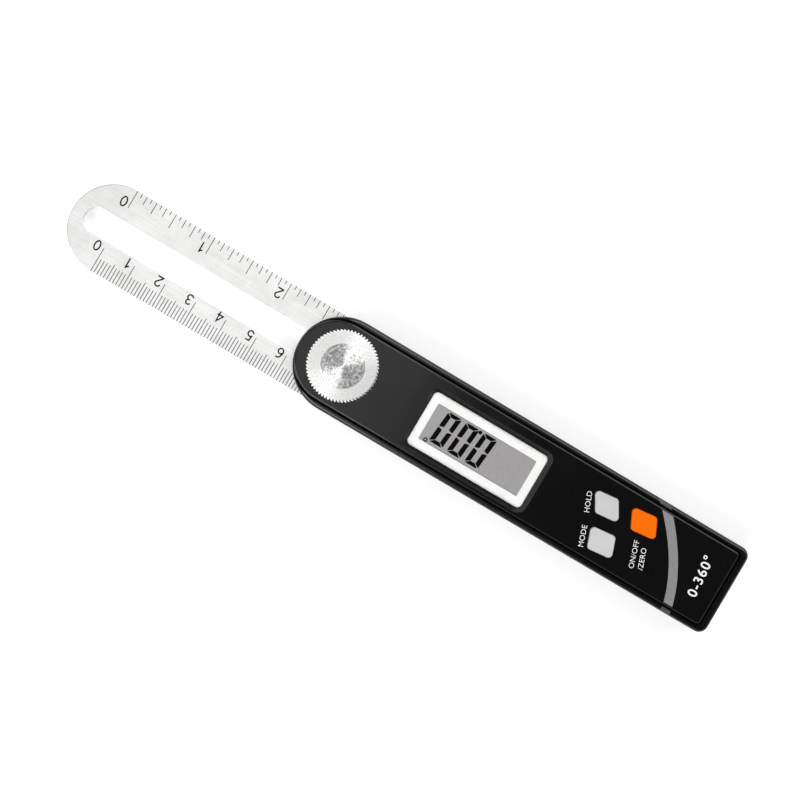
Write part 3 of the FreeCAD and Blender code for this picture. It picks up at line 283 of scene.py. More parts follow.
ROLLED_LONG, ROLLED_WIDE = 5.0, 0.15
nickel, tree, spot = new_finish("nickel_plated_strip")
rolled = add(tree, "ShaderNodeMapping", {
    "Vector": spot, "Scale": (PER_MM / ROLLED_LONG, PER_MM / ROLLED_WIDE, PER_MM / ROLLED_LONG)})
lines = add(tree, "ShaderNodeTexNoise", {"Vector": rolled.outputs[0], "Scale": 1.0, "Detail": 3.0})
surface(tree, lines.outputs["Fac"], ("#b3ada0", "#cbc6ba"), (0.22, 0.34), {"Metallic": 1.0})
dress(nickel, "battery_contact_minus", "battery_contact_plus")

# ---- Cap seal ----------------------------------------------------------------------------------
# A moulded ring of black silicone in a groove of the rear cover, squeezed when the cap turns home:
# matt and slightly dusty.

DUST = 0.8  # size of its flecks


def patchy(name, size, colours, roughness, sockets=None, **noise):
    """A finish in soft patches of one size in mm; noise is what else the pattern's sockets get."""
    made, tree, spot = new_finish(name)
    patches = add(tree, "ShaderNodeTexNoise", {"Vector": spot, "Scale": PER_MM / size, **noise})
    surface(tree, patches.outputs["Fac"], colours, roughness, sockets)
    return made


silicone = patchy("silicone_black", DUST, ("#151516", "#2b2b2c"), (0.5, 0.7),
                  {"IOR": 1.41, "Sheen Weight": 0.15, "Sheen Roughness": 0.5}, Detail=5.0)
dress(silicone, "cap_seal")

# ---- Guide hub and friction washer -------------------------------------------------------------
# Machined from white acetal.  The hub turns with the blade and the washer lies behind it: both are
# milky and waxy, with faint rings from the tool.

acetal, tree, spot = new_finish("acetal_machined_white")
marks = tool_marks(tree, spot, 0.0, pitch=0.3)
surface(tree, marks.outputs["Fac"], ("#dededa", "#ebebe6"), (0.3, 0.45),
        {"IOR": 1.48, "Subsurface Weight": 0.1, "Subsurface Scale": 1.0 * MM},
        relief=(marks.outputs["Fac"], 0.2, 0.01))
dress(acetal, "guide_hub", "friction_washer")

# ---- Pivot bush --------------------------------------------------------------------------------
# Turned from brass bar and pressed into the panel's boss, so that the hub runs on it: warm yellow,
# with bright concentric marks that stretch a lamp's reflection.

brass, tree, spot = new_finish("brass_turned")
marks = tool_marks(tree, spot, 0.0, pitch=0.2)
fan = add(tree, "ShaderNodeTangent", direction_type="RADIAL", axis="Z")
surface(tree, marks.outputs["Fac"], ("#b48a3e", "#d6b062"), (0.2, 0.32),
        {"Metallic": 1.0, "Anisotropic": 0.6, "Anisotropic Rotation": 0.25, "Tangent": fan.outputs[0]})
dress(brass, "pivot_bush")

# ---- Blade -------------------------------------------------------------------------------------
# Stamped stainless strip with deburred edges, brushed along its length on a belt.  The brushing
# spreads a lamp's reflection across the blade, and fingers have left faint smears.


def shell(name, points, faces, material, body, smooth=None):
    """A piece from points in mm and faces, which rides on a CAD body.  Edges stay sharp from the
    angle smooth, in degrees; without it every face is flat."""
    mesh = bpy.data.meshes.new(name)
    mesh.from_pydata((np.asarray(points, float).reshape(-1, 3) * MM).tolist(), [],
                     [list(map(int, face)) for face in faces])
    mesh.materials.append(material)
    if smooth:
        mesh.polygons.foreach_set("use_smooth", [True] * len(mesh.polygons))
        mesh.set_sharp_from_angle(angle=math.radians(smooth))
    piece = bpy.data.objects.new(name, mesh)
    bpy.context.scene.collection.objects.link(piece)
    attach(piece, body)
    return piece


def quads(index, rows_close, columns_close):
    """The faces between neighbours on a grid of point numbers, whose last row or column joins its
    first where the two switches say so."""
    index = np.pad(index, ((0, int(rows_close)), (0, int(columns_close))), "wrap")
    return np.stack([index[:-1, :-1], index[:-1, 1:], index[1:, 1:], index[1:, :-1]], -1).reshape(-1, 4)


FILL_ROOM = 0.015  # the steel lies this much lower, so that its marks pass the hub
BLADE_LOW, BLADE_TOP = (corner.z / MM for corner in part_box("blade"))
BLADE_TOP -= FILL_ROOM
BLADE_NEAR, BLADE_FAR = (corner.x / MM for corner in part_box("blade"))
BLADE_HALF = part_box("blade")[1].y / MM
SLOT_HALF, SLOT_MARGIN = 3.7, 3.95
DEBURR, FLAT_FROM = 0.14, 0.3  # radius of the edges, and the inset where the faces lie flat
ARC_STEPS = 40


def stadium(near, far, radius):
    """A slot shape as points: half circles of the radius about near and far on the X axis, each in
    ARC_STEPS even steps, joined by the two straight sides."""
    swing = np.linspace(-math.pi / 2, math.pi / 2, ARC_STEPS + 1)
    half = np.c_[radius * np.cos(swing), radius * np.sin(swing)]
    return np.concatenate([half + (far, 0), -half + (near, 0)])


def blade_outline(inset, hole):
    """The blade's outer outline moved in by inset, or the slot's outline moved out by it."""
    if hole:
        return stadium(BLADE_NEAR + SLOT_MARGIN + SLOT_HALF, BLADE_FAR - SLOT_MARGIN - SLOT_HALF,
                       SLOT_HALF + inset)
    return stadium(BLADE_NEAR + BLADE_HALF, BLADE_FAR - BLADE_HALF, BLADE_HALF - inset)


# the wall's section, from the underside up the outer edge, over the top and down in the slot
quarter = np.radians([0, 30, 60, 90])
upper = [(DEBURR * (1 - math.cos(a)), BLADE_TOP - DEBURR * (1 - math.sin(a))) for a in quarter]
upper.append((FLAT_FROM, BLADE_TOP))
lower = [(inset, BLADE_LOW + BLADE_TOP - z) for inset, z in upper]
section = ([(inset, z, False) for inset, z in lower[::-1] + upper]
           + [(inset, z, True) for inset, z in upper[::-1] + lower])
rows = np.stack([np.c_[blade_outline(inset, hole), np.full(2 * ARC_STEPS + 2, z)]
                 for inset, z, hole in section])
faces = quads(np.arange(rows.size // 3).reshape(rows.shape[:2]), rows_close=True, columns_close=True)

BRUSH_LONG, BRUSH_WIDE = 30.0, 0.3  # one brush line, wider than real so that it shows
SMEAR = 9.0
steel_brushed, tree, spot = new_finish("stainless_brushed")
stretched = add(tree, "ShaderNodeMapping", {
    "Vector": spot, "Scale": (PER_MM / BRUSH_LONG, PER_MM / BRUSH_WIDE, PER_MM / BRUSH_WIDE)})
lines = add(tree, "ShaderNodeTexNoise", {
    "Vector": stretched.outputs[0], "Scale": 1.0, "Detail": 4.0, "Roughness": 0.65})
smears = add(tree, "ShaderNodeTexNoise", {
    "Vector": spot, "Scale": PER_MM / SMEAR, "Detail": 4.0, "Roughness": 0.6, "Distortion": 0.6})
mottle = add(tree, "ShaderNodeMath", {
    0: lines.outputs["Fac"], 1: smears.outputs["Fac"]}, operation="ADD")
mottle = add(tree, "ShaderNodeMath", {0: mottle.outputs[0], 1: 0.5}, operation="MULTIPLY")
across = add(tree, "ShaderNodeTangent", direction_type="RADIAL", axis="X")
surface(tree, mottle.outputs[0], ("#cfcfcd", "#ebebea"), (0.22, 0.29),
        {"Metallic": 1.0, "Anisotropic": 0.5, "Tangent": across.outputs[0]},
        relief=(lines.outputs["Fac"], 0.2, 0.01))
brushed_blade = shell("brushed_blade", rows, faces, steel_brushed, "blade", smooth=40)
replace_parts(brushed_blade, "blade")

# ---- Scale on the blade ------------------------------------------------------------------------
# Fine lines and figures etched and filled black: millimetres along one edge, sixteenths of an inch
# along the other, all from the zero line where the round end begins.  The fill stands a hair proud.

ZERO_X, SCALE_LONG, INCH = -75.0, 73.2, 25.4
LINE_WIDE, INK_SUNK, INK_PROUD = 0.2, 0.01, 0.01
TEN_LONG, FIVE_LONG, ONE_LONG = 7.7, 5.2, 4.45  # lines at tens, fives and single millimetres
INCH_LONGS = (5.6, 4.6, 3.8, 2.7, 1.4)  # at inches, halves, quarters, eighths and 1/16
FIGURE_TALL, FIGURE_PEN = 3.2, 0.42
FIGURE_MIDDLE = (0.33, 0.5)  # of the strokes' box, which is one high
METRIC_FIGURE, INCH_FIGURE = (-2.05, -5.85), (-1.95, 8.8)  # their middles: x from the line, and y
MITRE_LIMIT = 0.35  # the least cosine of half a turn of the pen
BLOTCH = 0.4  # size of the patches where an ink lies thin


def pen(path, wide, low, high, closed=False):
    """A rectangular section carried along a flat path: every point is pushed to both sides along
    the mean of its two segments' normals, by half the width over the cosine of half their turn,
    which counts as MITRE_LIMIT at least."""
    path = np.asarray(path, float)
    ahead, back = np.roll(path, -1, 0) - path, path - np.roll(path, 1, 0)
    if not closed:
        ahead[-1], back[0] = back[-1], ahead[0]
    ahead, back = (leg / np.linalg.norm(leg, axis=1, keepdims=True) for leg in (ahead, back))
    mean = ahead + back
    normal = np.c_[-mean[:, 1], mean[:, 0]] / np.linalg.norm(mean, axis=1, keepdims=True)
    cosine = np.maximum((normal * np.c_[-ahead[:, 1], ahead[:, 0]]).sum(1), MITRE_LIMIT)
    side = normal * (wide / 2 / cosine)[:, None]
    n = len(path)
    points = np.concatenate([np.c_[path + side * sign, np.full(n, z)]
                             for sign, z in ((1, low), (1, high), (-1, high), (-1, low))])
    here = np.arange(n if closed else n - 1)
    after = (here + 1) % n
    faces = [np.c_[here + a * n, here + b * n, after + b * n, after + a * n]
             for a, b in ((0, 1), (1, 2), (2, 3), (3, 0))]
    if not closed:
        ends = np.arange(4) * n
        faces.append([ends[::-1], ends + n - 1])
    return points, np.concatenate(faces).tolist()


def gather(parts):
    """Join (points, faces) pairs into one pair."""
    points, faces, count = [], [], 0
    for spots, sides in parts:
        points.append(spots)
        faces += [[corner + count for corner in side] for side in sides]
        count += len(spots)
    return np.concatenate(points), faces


def bow(x, y, across, up, start, end, steps=14):
    """Points of an elliptic arc about (x, y), with its half sizes and its two angles in degrees."""
    angle = np.radians(np.linspace(start, end, steps))
    return np.c_[x + across * np.cos(angle), y + up * np.sin(angle)]


# pen strokes of each figure in a box one high: a list of (path, closed)
STROKES = {
    "0": [(bow(0.32, 0.5, 0.25, 0.44, 0, 347, 30), True)],
    "1": [(np.array([(0.10, 0.70), (0.25, 0.78), (0.36, 0.93)]), False),
          (np.array([(0.36, 1.0), (0.36, 0.0)]), False)],
    "2": [(np.concatenate([bow(0.31, 0.70, 0.24, 0.24, 175, -30, 16),
                           [(0.30, 0.36), (0.10, 0.15), (0.06, 0.055), (0.60, 0.055)]]), False)],
    "3": [(np.concatenate([bow(0.29, 0.73, 0.21, 0.21, 165, -85, 14),
                           bow(0.29, 0.29, 0.25, 0.235, 80, -165, 16)]), False)],
    "4": [(np.array([(0.45, 0.0), (0.45, 0.93), (0.05, 0.30), (0.62, 0.30)]), False)],
    "5": [(np.concatenate([[(0.54, 0.945), (0.17, 0.945), (0.11, 0.50)],
                           bow(0.30, 0.32, 0.25, 0.26, 135, -165, 18)]), False)],
    "6": [(bow(0.32, 0.30, 0.24, 0.245, 0, 342, 22), True),
          (bow(0.44, 0.34, 0.36, 0.60, 72, 182, 14), False)],
    "7": [(np.array([(0.06, 0.945), (0.56, 0.945), (0.36, 0.55), (0.26, 0.0)]), False)],
}


def figure(sign, x, y):
    """A figure's strokes about (x, y), turned half round so that it reads from the other side; each
    stroke is a little higher than the last, so that no two tops share a plane."""
    return [pen((x, y) - (path - FIGURE_MIDDLE) * FIGURE_TALL, FIGURE_PEN, BLADE_TOP - INK_SUNK,
                BLADE_TOP + INK_PROUD * (1 + 0.2 * step), closed)
            for step, (path, closed) in enumerate(STROKES[sign])]


count = np.arange(int(SCALE_LONG) + 1)
metric_long = np.select([count % 10 == 0, count % 5 == 0], [TEN_LONG, FIVE_LONG], ONE_LONG)
steps = np.arange(int(SCALE_LONG * 16 / INCH) + 1)
inch_long = np.select([steps % share == 0 for share in (16, 8, 4, 2)], INCH_LONGS[:4], INCH_LONGS[4])
lines = [((ZERO_X + i, DEBURR - BLADE_HALF), (ZERO_X + i, long - BLADE_HALF))
         for i, long in zip(count, metric_long)]
lines += [((ZERO_X + i * INCH / 16, BLADE_HALF - DEBURR), (ZERO_X + i * INCH / 16, BLADE_HALF - long))
          for i, long in zip(steps, inch_long)]
scale_ink = patchy("etch_fill_black", BLOTCH, ("#0b0b0c", "#050506"), (0.5, 0.6),
                   {"Specular IOR Level": 0.1})
points, faces = gather([pen(line, LINE_WIDE, BLADE_TOP - INK_SUNK, BLADE_TOP + INK_PROUD)
                        for line in lines])
shell("blade_scale_lines", points, faces, scale_ink, "blade")
parts = [part for i in range(8)
         for part in figure(str(i), ZERO_X + 10 * i + METRIC_FIGURE[0], METRIC_FIGURE[1])]
parts += [part for i in range(3)
          for part in figure(str(i), ZERO_X + INCH * i + INCH_FIGURE[0], INCH_FIGURE[1])]
points, faces = gather(parts)
shell("blade_scale_figures", points, faces, scale_ink, "blade")

# ---- Angle sensor ------------------------------------------------------------------------------
# Two ring-shaped boards of glass epoxy, one still and one turning: green solder mask around a crown
# of gold-plated copper pads, fewer than real so that they can be told apart.

PADS, PAD_FROM, PAD_TO, PAD_SHARE = 48, 6.2, 9.2, 0.55
WEAVE = 0.6  # of the glass cloth, which shows through the mask
sensor, tree, spot = new_finish("solder_mask_sensor")
split = add(tree, "ShaderNodeSeparateXYZ", {"Vector": spot})
turn = add(tree, "ShaderNodeMath", {0: split.outputs["Y"], 1: split.outputs["X"]}, operation="ARCTAN2")
turn = add(tree, "ShaderNodeMath", {0: turn.outputs[0], 1: PADS / (2 * math.pi)}, operation="MULTIPLY")
turn = add(tree, "ShaderNodeMath", {0: turn.outputs[0]}, operation="FRACT")
away = from_axis(tree, spot)
pad = add(tree, "ShaderNodeMath", {0: turn.outputs[0], 1: PAD_SHARE}, operation="LESS_THAN")
for edge, side in ((PAD_FROM, "GREATER_THAN"), (PAD_TO, "LESS_THAN")):
    inside = add(tree, "ShaderNodeMath", {0: away, 1: edge * MM}, operation=side)
    pad = add(tree, "ShaderNodeMath", {0: pad.outputs[0], 1: inside.outputs[0]}, operation="MULTIPLY")
weave = add(tree, "ShaderNodeTexNoise", {"Vector": spot, "Scale": PER_MM / WEAVE})
mask_tone = add(tree, "ShaderNodeMix", {
    "Factor": weave.outputs["Fac"], "A": tint("#15502b"), "B": tint("#2a7443")}, data_type="RGBA")
mask = add(tree, "ShaderNodeBsdfPrincipled", {
    "Base Color": mask_tone.outputs["Result"], "Roughness": 0.28})
gold = add(tree, "ShaderNodeBsdfPrincipled", {
    "Base Color": tint("#d8b25c"), "Roughness": 0.3, "Metallic": 1.0})
mixed = add(tree, "ShaderNodeMixShader", {0: pad.outputs[0], 1: mask.outputs[0], 2: gold.outputs[0]})
add(tree, "ShaderNodeOutputMaterial", {"Surface": mixed.outputs[0]})
dress(sensor, "encoder_rotor", "encoder_stator")

# ---- Main board --------------------------------------------------------------------------------
# Glass epoxy under green solder mask, held by four screws.  Bundles of copper tracks show through
# as paler lines, which run along the board in some fields and across it in others.

TRACK_PITCH, FIELD = 0.8, 9.0  # tracks are twice as coarse as real, so that they show
WAVE = 2 * math.pi / 20  # a wave texture's scale for one band per unit
board, tree, spot = new_finish("solder_mask_green")
runs = [add(tree, "ShaderNodeTexWave", {"Vector": spot, "Scale": WAVE * PER_MM / TRACK_PITCH},
            bands_direction=way) for way in ("X", "Y")]
field = add(tree, "ShaderNodeTexVoronoi", {
    "Vector": spot, "Scale": PER_MM / FIELD}, distance="CHEBYCHEV")
choice = add(tree, "ShaderNodeSeparateXYZ", {"Vector": field.outputs["Color"]})
way = add(tree, "ShaderNodeMath", {0: choice.outputs["X"], 1: 0.5}, operation="GREATER_THAN")
tracks = add(tree, "ShaderNodeMix", {
    "Factor": way.outputs[0], "A": runs[0].outputs["Fac"], "B": runs[1].outputs["Fac"]},
    data_type="FLOAT")
surface(tree, tracks.outputs["Result"], ("#15502b", "#2f7d49"), (0.25, 0.32),
        relief=(tracks.outputs["Result"], 0.4, 0.03))
dress(board, "main_board")

# ---- Controller chip ---------------------------------------------------------------------------
# A flat package of black epoxy moulding compound, soldered to the board: matt, with a glassy
# filler whose grains are coarser than real, so that they show.

FILLER = 0.15
epoxy, tree, spot = new_finish("epoxy_moulding_black")
filler = add(tree, "ShaderNodeTexNoise", {"Vector": spot, "Scale": PER_MM / FILLER, "Detail": 2.0})
surface(tree, filler.outputs["Fac"], ("#131314", "#222223"), (0.5, 0.65),
        relief=(filler.outputs["Fac"], 0.3, 0.01))
dress(epoxy, "controller_chip")

# ---- Dome switches -----------------------------------------------------------------------------
# Soldered to the board under the keys: a black nylon base, and above it a pressed dome of
# nickel-plated spring steel, bright and a little scuffed.

DOME_HIGH, SCUFF = 0.5, 0.5  # height of a dome above its base, and size of its scuffs
DOME_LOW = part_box("dome_switches")[1].z / MM - DOME_HIGH
dome, tree, spot = new_finish("spring_steel_dome")
split = add(tree, "ShaderNodeSeparateXYZ", {"Vector": spot})
above = add(tree, "ShaderNodeMath", {0: split.outputs["Z"], 1: DOME_LOW * MM}, operation="GREATER_THAN")
wear = add(tree, "ShaderNodeTexNoise", {"Vector": spot, "Scale": PER_MM / SCUFF, "Detail": 3.0})
rough = add(tree, "ShaderNodeMapRange", {"Value": wear.outputs["Fac"], "To Min": 0.2, "To Max": 0.4})
metal = add(tree, "ShaderNodeBsdfPrincipled", {
    "Base Color": tint("#c9c8c4"), "Metallic": 1.0, "Roughness": rough.outputs[0]})
nylon = add(tree, "ShaderNodeBsdfPrincipled", {"Base Color": tint("#1c1c1d"), "Roughness": 0.5})
mixed = add(tree, "ShaderNodeMixShader", {
    0: above.outputs[0], 1: nylon.outputs[0], 2: metal.outputs[0]})
add(tree, "ShaderNodeOutputMaterial", {"Surface": mixed.outputs[0]})
dress(dome, "dome_switches")

# ---- Ribbon connector --------------------------------------------------------------------------
# Moulded from natural nylon and soldered to the board: cream, slightly uneven in colour, with a
# soft gloss.

NYLON_FLOW = 1.2  # size of the moulding's flow marks
nylon_cream = patchy("nylon_cream", NYLON_FLOW, ("#d3c9a8", "#e4dcc2"), (0.35, 0.5), {"IOR": 1.53},
                     Detail=3.0, Distortion=1.0)
dress(nylon_cream, "ribbon_connector")

# ---- Sensor ribbon -----------------------------------------------------------------------------
# Copper tracks under polyimide film, plugged in at one end and bonded to the sensor at the other:
# clear amber between the tracks and a darker brown above them.

RIBBON_PITCH = 0.75
polyimide, tree, spot = new_finish("polyimide_amber")
tracks = add(tree, "ShaderNodeTexWave", {
    "Vector": spot, "Scale": WAVE * PER_MM / RIBBON_PITCH}, bands_direction="Y")
surface(tree, tracks.outputs["Fac"], ("#8b5312", "#c98a2c"), (0.18, 0.28), {"IOR": 1.7})
dress(polyimide, "encoder_ribbon")

# ---- Elastomer connectors ----------------------------------------------------------------------
# Layered silicone between the board and the glass, clear pink and carbon black in turn.  The real
# layers are 0.1 mm thick; they are drawn five times as thick so that they show.

LAYER_PAIR = 1.0  # a clear and a black layer
zebra, tree, spot = new_finish("silicone_layered")
layers = add(tree, "ShaderNodeTexWave", {
    "Vector": spot, "Scale": WAVE * PER_MM / LAYER_PAIR}, bands_direction="X")
surface(tree, layers.outputs["Fac"], ("#231f20", "#d7b9c0"), (0.45, 0.6), {"IOR": 1.41})
dress(zebra, "zebra_strips")

# ---- Display glass and its segments ------------------------------------------------------------
# Liquid crystal between two panes over a grey reflector, which is faintly grainy.  Three
# seven-segment figures with their middle bars off, a point and a degree ring are dark; they lean a
# little and read with -Y up.

REFLECTOR_GRAIN = 0.35  # coarser than real, so that it shows
reflector = patchy("liquid_crystal_grey", REFLECTOR_GRAIN, ("#a09d9e", "#a6a4a5"), (0.25, 0.35),
                   Detail=2.0)
dress(reflector, "display_glass")

GLASS_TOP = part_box("display_bezel")[0].z / MM
DIGIT_TALL, DIGIT_WIDE, LEAN = 10.0, 4.5, math.tan(math.radians(5))
UPRIGHT_BAR, FLAT_BAR = 1.45, 1.12
MITRE, MIDDLE_GAP, CORNER_CUT = 0.06, 0.13, 0.26
FIGURES_X, FIGURES_Y = (37.37, 43.27, 49.17), 4.27  # each figure's lower right corner, as it reads
POINT_X, POINT_Y, POINT_RADIUS = 43.72, 3.75, 0.55
DEGREE_X, DEGREE_Y, DEGREE_RADIUS, DEGREE_PEN = 31.12, -5.93, 0.47, 0.34
LAYER = (GLASS_TOP - INK_SUNK, GLASS_TOP + INK_PROUD)


def prism(corners, low, high):
    """A closed plate from an anticlockwise outline."""
    n = len(corners)
    points = np.concatenate([np.c_[corners, np.full(n, low)], np.c_[corners, np.full(n, high)]])
    here = np.arange(n)
    after = (here + 1) % n
    return points, [here[::-1].tolist(), (here + n).tolist(),
                    *np.c_[here, after, after + n, here + n].tolist()]


def digit_bars():
    """The six outer bars of one upright figure: each bar's two ends are mitred and their tips cut, so
    that a gap stays between any two."""
    w, h, s, f, g, m, c = DIGIT_WIDE, DIGIT_TALL, UPRIGHT_BAR, FLAT_BAR, MITRE, MIDDLE_GAP, CORNER_CUT
    top = [(c + g, h - c / 2), (s + g, h - f), (w - s - g, h - f), (w - c - g, h - c / 2),
           (w - 2 * c, h), (2 * c, h)]
    left = [(0, h / 2 + m + c), (c, h / 2 + m), (s - c, h / 2 + m + c), (s, h / 2 + m + 2 * c),
            (s, h - f - g), (c / 2, h - c - g), (0, h - 2 * c)]
    upper = [top, left, [(w - x, y) for x, y in left]]
    return [np.array(bar, float) for bar in upper + [[(x, h - y) for x, y in bar] for bar in upper]]


def on_glass(corners, x, y):
    """Upright corners onto the display: leant, turned half round and put at x, y, anticlockwise."""
    leant = corners + np.c_[LEAN * corners[:, 1], np.zeros(len(corners))]
    spots = (x, y) - leant
    area = np.sum(spots[:, 0] * np.roll(spots[:, 1], -1) - np.roll(spots[:, 0], -1) * spots[:, 1])
    return spots if area > 0 else spots[::-1]


parts = [prism(on_glass(bar, x, FIGURES_Y), *LAYER) for x in FIGURES_X for bar in digit_bars()]
parts.append(prism(bow(POINT_X, POINT_Y, POINT_RADIUS, POINT_RADIUS, 0, 345, 24), *LAYER))
parts.append(pen(bow(DEGREE_X, DEGREE_Y, DEGREE_RADIUS, DEGREE_RADIUS, 0, 345, 24), DEGREE_PEN,
                 *LAYER, closed=True))
points, faces = gather(parts)
dark = patchy("liquid_crystal_dark", BLOTCH, ("#060607", "#020203"), (0.25, 0.35),
              {"Specular IOR Level": 0.0})
shell("display_segments", points, faces, dark, "handle")

# ---- Display frame -----------------------------------------------------------------------------
# Moulded in glossy white ABS and laid on the glass under the window, where it is the brightest
# line around the display.

WHITE_FLOW = 4.0  # size of the moulding's flow marks
abs_white = patchy("abs_moulded_white", WHITE_FLOW, ("#f6f6f4", "#fcfcfb"), (0.35, 0.45), {"IOR": 1.53},
                   Detail=2.0)
dress(abs_white, "display_bezel")

# ---- Display window ----------------------------------------------------------------------------
# A clear acrylic pane with broken edges, dropped into the bevelled opening over the white frame.
# Its faces towards the room carry the gloss, softened a little by fine wiping marks.

PANE_CORNER, PANE_BREAK, PANE_GAP = 1.4, 0.06, 0.02  # the gap keeps it off the frame's plane
CORNER_STEPS, WIPE = 8, 3.0  # steps of a corner, and size of the wiping marks
acrylic, tree, spot = new_finish("acrylic_clear")
wipes = add(tree, "ShaderNodeTexNoise", {
    "Vector": spot, "Scale": PER_MM / WIPE, "Detail": 4.0, "Distortion": 1.5})
haze = add(tree, "ShaderNodeMapRange", {"Value": wipes.outputs["Fac"], "To Min": 0.02, "To Max": 0.09})
through = add(tree, "ShaderNodeBsdfTransparent")
mirror = add(tree, "ShaderNodeBsdfGlossy", {"Roughness": haze.outputs[0]})
edge = add(tree, "ShaderNodeFresnel", {"IOR": 1.49})
side = add(tree, "ShaderNodeNewGeometry")
front = add(tree, "ShaderNodeMath", {0: 1.0, 1: side.outputs["Backfacing"]}, operation="SUBTRACT")
share = add(tree, "ShaderNodeMath", {0: edge.outputs[0], 1: front.outputs[0]}, operation="MULTIPLY")
mixed = add(tree, "ShaderNodeMixShader", {
    0: share.outputs[0], 1: through.outputs[0], 2: mirror.outputs[0]})
add(tree, "ShaderNodeOutputMaterial", {"Surface": mixed.outputs[0]})


def pane_outline(inset):
    """A rounded rectangle moved in by inset: a quarter circle about each corner's centre, whose
    radius shrinks by the inset."""
    quarter = np.radians(np.linspace(0, 90, CORNER_STEPS))
    swing = np.concatenate([quarter + turn * math.pi / 2 for turn in range(4)])
    signs = np.repeat([(1, 1), (-1, 1), (-1, -1), (1, -1)], CORNER_STEPS, axis=0)
    return (middle[:2] + signs * (half[:2] - PANE_CORNER)
            + (PANE_CORNER - inset) * np.c_[np.cos(swing), np.sin(swing)])


low, high = (np.array(corner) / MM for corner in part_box("display_window"))
middle, half = (low + high) / 2, (high - low) / 2
rows = np.stack([np.c_[pane_outline(inset), np.full(4 * CORNER_STEPS, z)] for inset, z in (
    (PANE_BREAK, low[2] + PANE_GAP), (0, low[2] + PANE_GAP + PANE_BREAK), (0, high[2] - PANE_BREAK),
    (PANE_BREAK, high[2]))])
index = np.arange(rows.size // 3).reshape(rows.shape[:2])
faces = quads(index, rows_close=False, columns_close=True).tolist()
faces += [index[0, ::-1].tolist(), index[-1].tolist()]
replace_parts(shell("display_pane", rows, faces, acrylic, "handle"), "display_window")

# ---- Face panel --------------------------------------------------------------------------------
# Moulded black ABS lid, polished smoother than the tub and glued into the rim: it mirrors the
# lamps softly, its edge catches a bright line, and wiping has left faint streaks.

PANEL_GRAIN, STREAK = 0.5, 14.0  # the skin's grain, coarser than real, and the streaks
abs_satin, tree, spot = new_finish("abs_satin_black")
grain = add(tree, "ShaderNodeTexNoise", {"Vector": spot, "Scale": PER_MM / PANEL_GRAIN, "Detail": 2.0})
wiped = add(tree, "ShaderNodeTexNoise", {
    "Vector": spot, "Scale": PER_MM / STREAK, "Detail": 4.0, "Distortion": 0.5})
surface(tree, wiped.outputs["Fac"], ("#040405", "#060607"), (0.13, 0.18), {"IOR": 1.47},
        relief=(grain.outputs["Fac"], 0.1, 0.01))
dress(abs_satin, "face_panel")

# ---- Print on the face panel -------------------------------------------------------------------
# White pad-printed words beside the keys and a plain range mark near the end, and a silver band
# that sweeps across the panel and over the rim beside it.

PANEL_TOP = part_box("face_panel")[1].z / MM
FONT_CAPITALS = 0.729  # height of the font's capitals over its size
WELD = 0.0005  # points of the letters that are nearer than this are joined


def lettering(name, signs, tall, material, weight, spacing):
    """Thin closed plates in the shape of letters on the panel, in one piece.

    signs are (words, x, y, turn): the middle of the words and the direction in which they read, in
    degrees.  The letters are tall mm high, and sunk and proud by the ink's sizes.
    """
    whole = bmesh.new()
    for words, x, y, turn in signs:
        text = bpy.data.curves.new(name, "FONT")
        text.body = words
        text.size = tall / FONT_CAPITALS
        text.offset = weight
        text.space_character = spacing
        text.resolution_u = 5
        text.extrude = (INK_SUNK + INK_PROUD) / 2
        plate = bpy.data.objects.new(name, text)
        bpy.context.scene.collection.objects.link(plate)
        bpy.context.view_layer.update()
        graph = bpy.context.evaluated_depsgraph_get()
        flat = bpy.data.meshes.new_from_object(plate.evaluated_get(graph))
        spots = np.array([vertex.co for vertex in flat.vertices])
        middle = Vector((spots.min(0) + spots.max(0)) / 2)
        flat.transform(Matrix.Translation((x, y, PANEL_TOP + (INK_PROUD - INK_SUNK) / 2))
                       @ Matrix.Rotation(math.radians(turn), 4, "Z") @ Matrix.Translation(-middle))
        whole.from_mesh(flat)
        bpy.data.objects.remove(plate)
        bpy.data.meshes.remove(flat)
    bmesh.ops.remove_doubles(whole, verts=whole.verts, dist=WELD)
    bmesh.ops.recalc_face_normals(whole, faces=whole.faces)
    mesh = bpy.data.meshes.new(name)
    whole.to_mesh(mesh)
    whole.free()
    mesh.transform(Matrix.Scale(MM, 4))
    mesh.materials.append(material)
    piece = bpy.data.objects.new(name, mesh)
    bpy.context.scene.collection.objects.link(piece)
    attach(piece, "handle")


print_white = patchy("pad_print_white", BLOTCH, ("#f2f2f2", "#fafafa"), (0.4, 0.5))
lettering("panel_legends", [("HOLD", 80.25, 2.46, 111.6), ("MODE", 83.9, -6.74, 109.3),
                            ("ON/OFF", 99.45, -3.83, 108.3), ("/ZERO", 102.23, -3.85, 110.1)],
          tall=1.62, material=print_white, weight=-0.012, spacing=1.04)
lettering("panel_range_mark", [("0-360°", 119.4, 0.4, 95)],
          tall=3.0, material=print_white, weight=0.05, spacing=1.15)

BAND_NEAR = (108.97, -0.619, -0.0156)  # edge of the band: x = a + b y + c y squared
BAND_FAR = (112.12, -0.584, -0.0141)
BAND_PANEL, BAND_RIM = 11.3, (12.62, 13.55)  # its ends in y, on the panel and on the rim
RIM_TOP, RIM_FLAT, RIM_ROUND = 12.9, 12.9, 1.1  # the rim's height, flat in y, and rounding


